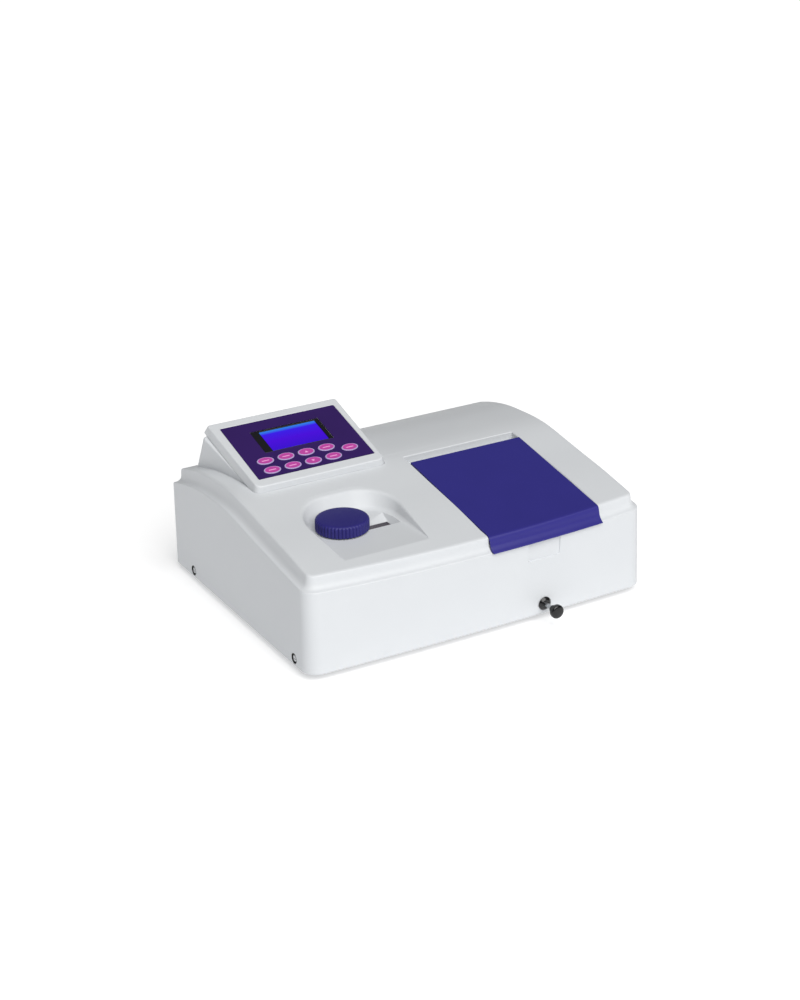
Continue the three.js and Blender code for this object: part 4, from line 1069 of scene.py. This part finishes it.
# %% Pull rod's knob and bush
ROD = (ROD_X, ROD_Z)
rod_knob = turned("rod_knob_moulding", "y", ROD,
                  [(0.4, -31), (3, -30.93), (5.4, -30.7), (6.8, -30.2), (7.5, -29.5), (7.8, -28.6),
                   (7.8, -26), (7.55, -25.2), (6.9, -24.8), (5, -24.6), (4.4, -24.1), (4.4, -22.4),
                   (4.9, -22.1), (4.9, -20.8), (4.5, -20.4), (4.2, -19.3), (3.9, -19), (0.4, -19)])
combine(rod_knob, ("DIFFERENCE", bar("rod_bore", "y", ROD, 2.55, -21.4, -17)))
smooth(rod_knob, 40)
gloss_black = moulded_plastic("glossy_black_phenolic", "#060607", "#0c0c0e", 0.2, 0.9, 0.008, 0.5)
finish_piece(rod_knob, gloss_black, "carriage", ["rod_knob"])
rod_bush = turned("rod_bush_moulding", "y", ROD,
                  [(0.4, -6.8), (4.6, -6.8), (5.4, -6.6), (6.9, -5.2), (7.6, -4.4), (7.8, -4),
                   (7.6, -3.8), (5, -3.8), (5, 7), (0.4, 7)])
combine(rod_bush, ("DIFFERENCE", bar("bush_bore", "y", ROD, 2.55, -10, 12)))
smooth(rod_bush, 40)
finish_piece(rod_bush, gloss_black, "root", ["rod_bush"])

# %% [markdown]
# ## Metals
# Rolled, turned and ground metal is told apart by its grain. One maker draws streaks by
# stretching noise along one axis, with the streak's width in millimetres. The default
# index of refraction is kept, as for every metal.

# %% Metal maker
def streaked_metal(name, dark, light, rough, streak_mm, along="x", relief_mm=0.004):
    """A metal whose shade and gloss vary in streaks along one axis."""
    material, out = new_material(name)
    place = add_node(material, "ShaderNodeTexCoord").outputs["Object"]
    fine = 1 / (streak_mm * MM)
    stretch = tuple(fine / 25 if letter == along else fine for letter in "xyz")
    grain = add_node(material, "ShaderNodeVectorMath", {0: place, 1: stretch}, operation="MULTIPLY")
    streaks = add_node(material, "ShaderNodeTexNoise", {"Vector": grain.outputs[0], "Scale": 1.0,
                                                        "Detail": 3.0})
    colour = add_node(material, "ShaderNodeMix", {0: streaks.outputs["Fac"], 6: linear(dark),
                                                  7: linear(light)}, data_type="RGBA")
    gloss = add_node(material, "ShaderNodeMapRange",
                     {0: streaks.outputs["Fac"], 1: 0.3, 2: 0.7, 3: rough - 0.05, 4: rough + 0.07})
    bump = add_node(material, "ShaderNodeBump", {"Height": streaks.outputs["Fac"],
                                                 "Distance": relief_mm * MM, "Strength": 0.5})
    skin = add_node(material, "ShaderNodeBsdfPrincipled",
                    {"Base Color": colour.outputs[2], "Roughness": gloss.outputs[0],
                     "Metallic": 1.0, "Normal": bump.outputs[0]})
    material.node_tree.links.new(skin.outputs[0], out.inputs[0])
    return material


turned_steel = streaked_metal("turned_steel", "#9c9ea1", "#c4c6c8", 0.26, 0.4, "y")
zinc_sheet = streaked_metal("zinc_plated_sheet", "#8d9094", "#a9acb0", 0.42, 1.6, "x")
brushed_aluminium = streaked_metal("brushed_aluminium", "#9da0a3", "#b6b9bc", 0.36, 0.5, "x")
front_surface_mirror = streaked_metal("front_surface_mirror", "#d4d6d9", "#e2e4e6", 0.08, 3, "z", 0.0)
laminated_iron = streaked_metal("laminated_iron", "#4a4643", "#6b625a", 0.5, 0.6, "x", 0.02)

print("metals:", turned_steel.name, zinc_sheet.name, brushed_aluminium.name)

# %% [markdown]
# ## Screws and feet
# Each screw is a slotted steel head sunk in a black cup, which lines the counterbore in
# the wall. The cup's black is partly painted shade, for the shadow that falls inside the
# hole. The feet are moulded rubber, a little hollow underneath, with a stem that is pushed
# into the tray.

# %% Screws
for i, (y, side) in enumerate(SCREWS):
    turn = -1 if side else 1
    base = side * WIDTH + turn * 0.4
    place = (y, SCREW_Z)
    # The black cup is partly painted shade: it darkens the counterbore where its shadow falls.
    cup = turned(f"screw_shade_cup_{i + 1}", "x", place,
                 [(r, base + turn * h) for r, h in
                  [(0.5, 1.65), (5.7, 1.65), (5.85, 1.5), (5.85, -0.2), (5.6, -0.35), (5.2, -0.2),
                   (5.0, 1.0), (4.8, 1.15), (0.5, 1.15)]])
    finish_piece(smooth(cup), black_abs, "root", [f"cover_screw_{i + 1}"])
    head = turned(f"screw_head_{i + 1}", "x", place,
                  [(r, base + turn * h) for r, h in
                   [(1.6, 8), (1.6, 1.2), (3.7, 1.17), (3.8, 1.0), (3.7, 0.6), (3.2, 0.25),
                    (2.3, 0.05), (0.5, 0)]])
    low, high = sorted((base - turn * 1.0, base + turn * 0.6))
    combine(head, ("DIFFERENCE", box("driver_slot", low, high, y - 5, y + 5, SCREW_Z - 0.4,
                                     SCREW_Z + 0.4)))
    finish_piece(smooth(head), turned_steel, "root", [])

# %% Feet
foot_rubber = moulded_plastic("black_moulded_rubber", "#161617", "#1f1f21", 0.82, 0.8, 0.04, 0.25)
for i, (x, y) in enumerate([(34, 34), (34, 300), (386, 34), (386, 300)]):
    foot = turned(f"rubber_foot_{i + 1}", "z", (x, y),
                  [(0.4, -7.6), (5.8, -7.6), (6.2, -8), (7.5, -8), (8.1, -7.6), (8.6, -6.8),
                   (9.8, -2.6), (10, -1.9), (10, -0.7), (9.6, -0.3), (2, -0.3), (2, 6.5), (0.4, 6.5)])
    finish_piece(smooth(foot), foot_rubber, "root", [f"foot_{i + 1}"])

# %% [markdown]
# ## Finishes for the rest of the frame
# The other pieces keep their CAD shape, since it is right as it is. Each gets the finish
# of its real material, and the sockets and sheet parts get a fine bevel on their edges.
# The imported faces share no corners, so a weld comes before the bevel.

# %% Other finishes
def plain_glass(name, tint):
    """Clear blown or pressed glass with faint waves in its surface."""
    material, out = new_material(name)
    place = add_node(material, "ShaderNodeTexCoord").outputs["Object"]
    wave = add_node(material, "ShaderNodeTexNoise", {"Vector": place, "Scale": 1 / (6 * MM)})
    bump = add_node(material, "ShaderNodeBump", {"Height": wave.outputs["Fac"],
                                                 "Distance": 0.05 * MM, "Strength": 0.3})
    colour = add_node(material, "ShaderNodeMix", {0: wave.outputs["Fac"], 6: linear(tint),
                                                  7: linear("#ffffff")}, data_type="RGBA")
    skin = add_node(material, "ShaderNodeBsdfPrincipled",
                    {"Base Color": colour.outputs[2], "Roughness": 0.03, "IOR": 1.47,
                     "Transmission Weight": 0.95, "Normal": bump.outputs[0]})
    material.node_tree.links.new(skin.outputs[0], out.inputs[0])
    return material


cast_black = moulded_plastic("black_painted_casting", "#1a1b1d", "#26272a", 0.62, 1.1, 0.06, 0.35)
tub_black = moulded_plastic("matt_black_polycarbonate", "#101113", "#17181a", 0.7, 0.9, 0.03, 0.3)
seal_foam = moulded_plastic("black_neoprene_foam", "#131314", "#232324", 0.92, 1.4, 0.25, 0.15)
solder_mask = moulded_plastic("green_solder_mask", "#17502c", "#227041", 0.3, 2.2, 0.02, 0.5, 12)
FINISHES = {
    zinc_sheet: ["base_tray", "lamp_socket"],
    turned_steel: ["knob_shaft", "wavelength_cam", "grating_arm", "hinge_pin", "pull_rod",
                   "entrance_slit", "exit_slit", "data_port", "photodiode"],
    brushed_aluminium: ["rear_panel", "wavelength_dial"],
    cast_black: ["monochromator_housing", "monochromator_cover", "lamp_house", "detector_housing"],
    tub_black: ["compartment_tub", "cell_carriage"],
    seal_foam: ["light_seal"],
    front_surface_mirror: ["collimating_mirror", "focusing_mirror", "grating"],
    plain_glass("blown_quartz_glass", "#f2f6f8"): ["lamp", "condenser_lens"],
    solder_mask: ["keypad_board", "main_board"],
    laminated_iron: ["transformer"],
    black_abs: ["power_inlet", "switch_frame", "power_switch", "fuse_holder"],
}
BEVELS = {"rear_panel": 0.3, "power_inlet": 0.4, "switch_frame": 0.4, "power_switch": 0.5,
          "fuse_holder": 0.5, "data_port": 0.3, "cell_carriage": 0.3, "compartment_tub": 0.4,
          "pull_rod": 0.3, "base_tray": 0.3}
for material, names in FINISHES.items():
    for name in names:
        for holder in nodes[name].material_slots:
            holder.material = material
for name, width in BEVELS.items():
    weld = nodes[name].modifiers.new("weld", "WELD")
    weld.merge_threshold = 0.001 * MM
    soften(nodes[name], width, 2)
print("finishes on CAD nodes:", sum(len(names) for names in FINISHES.values()))
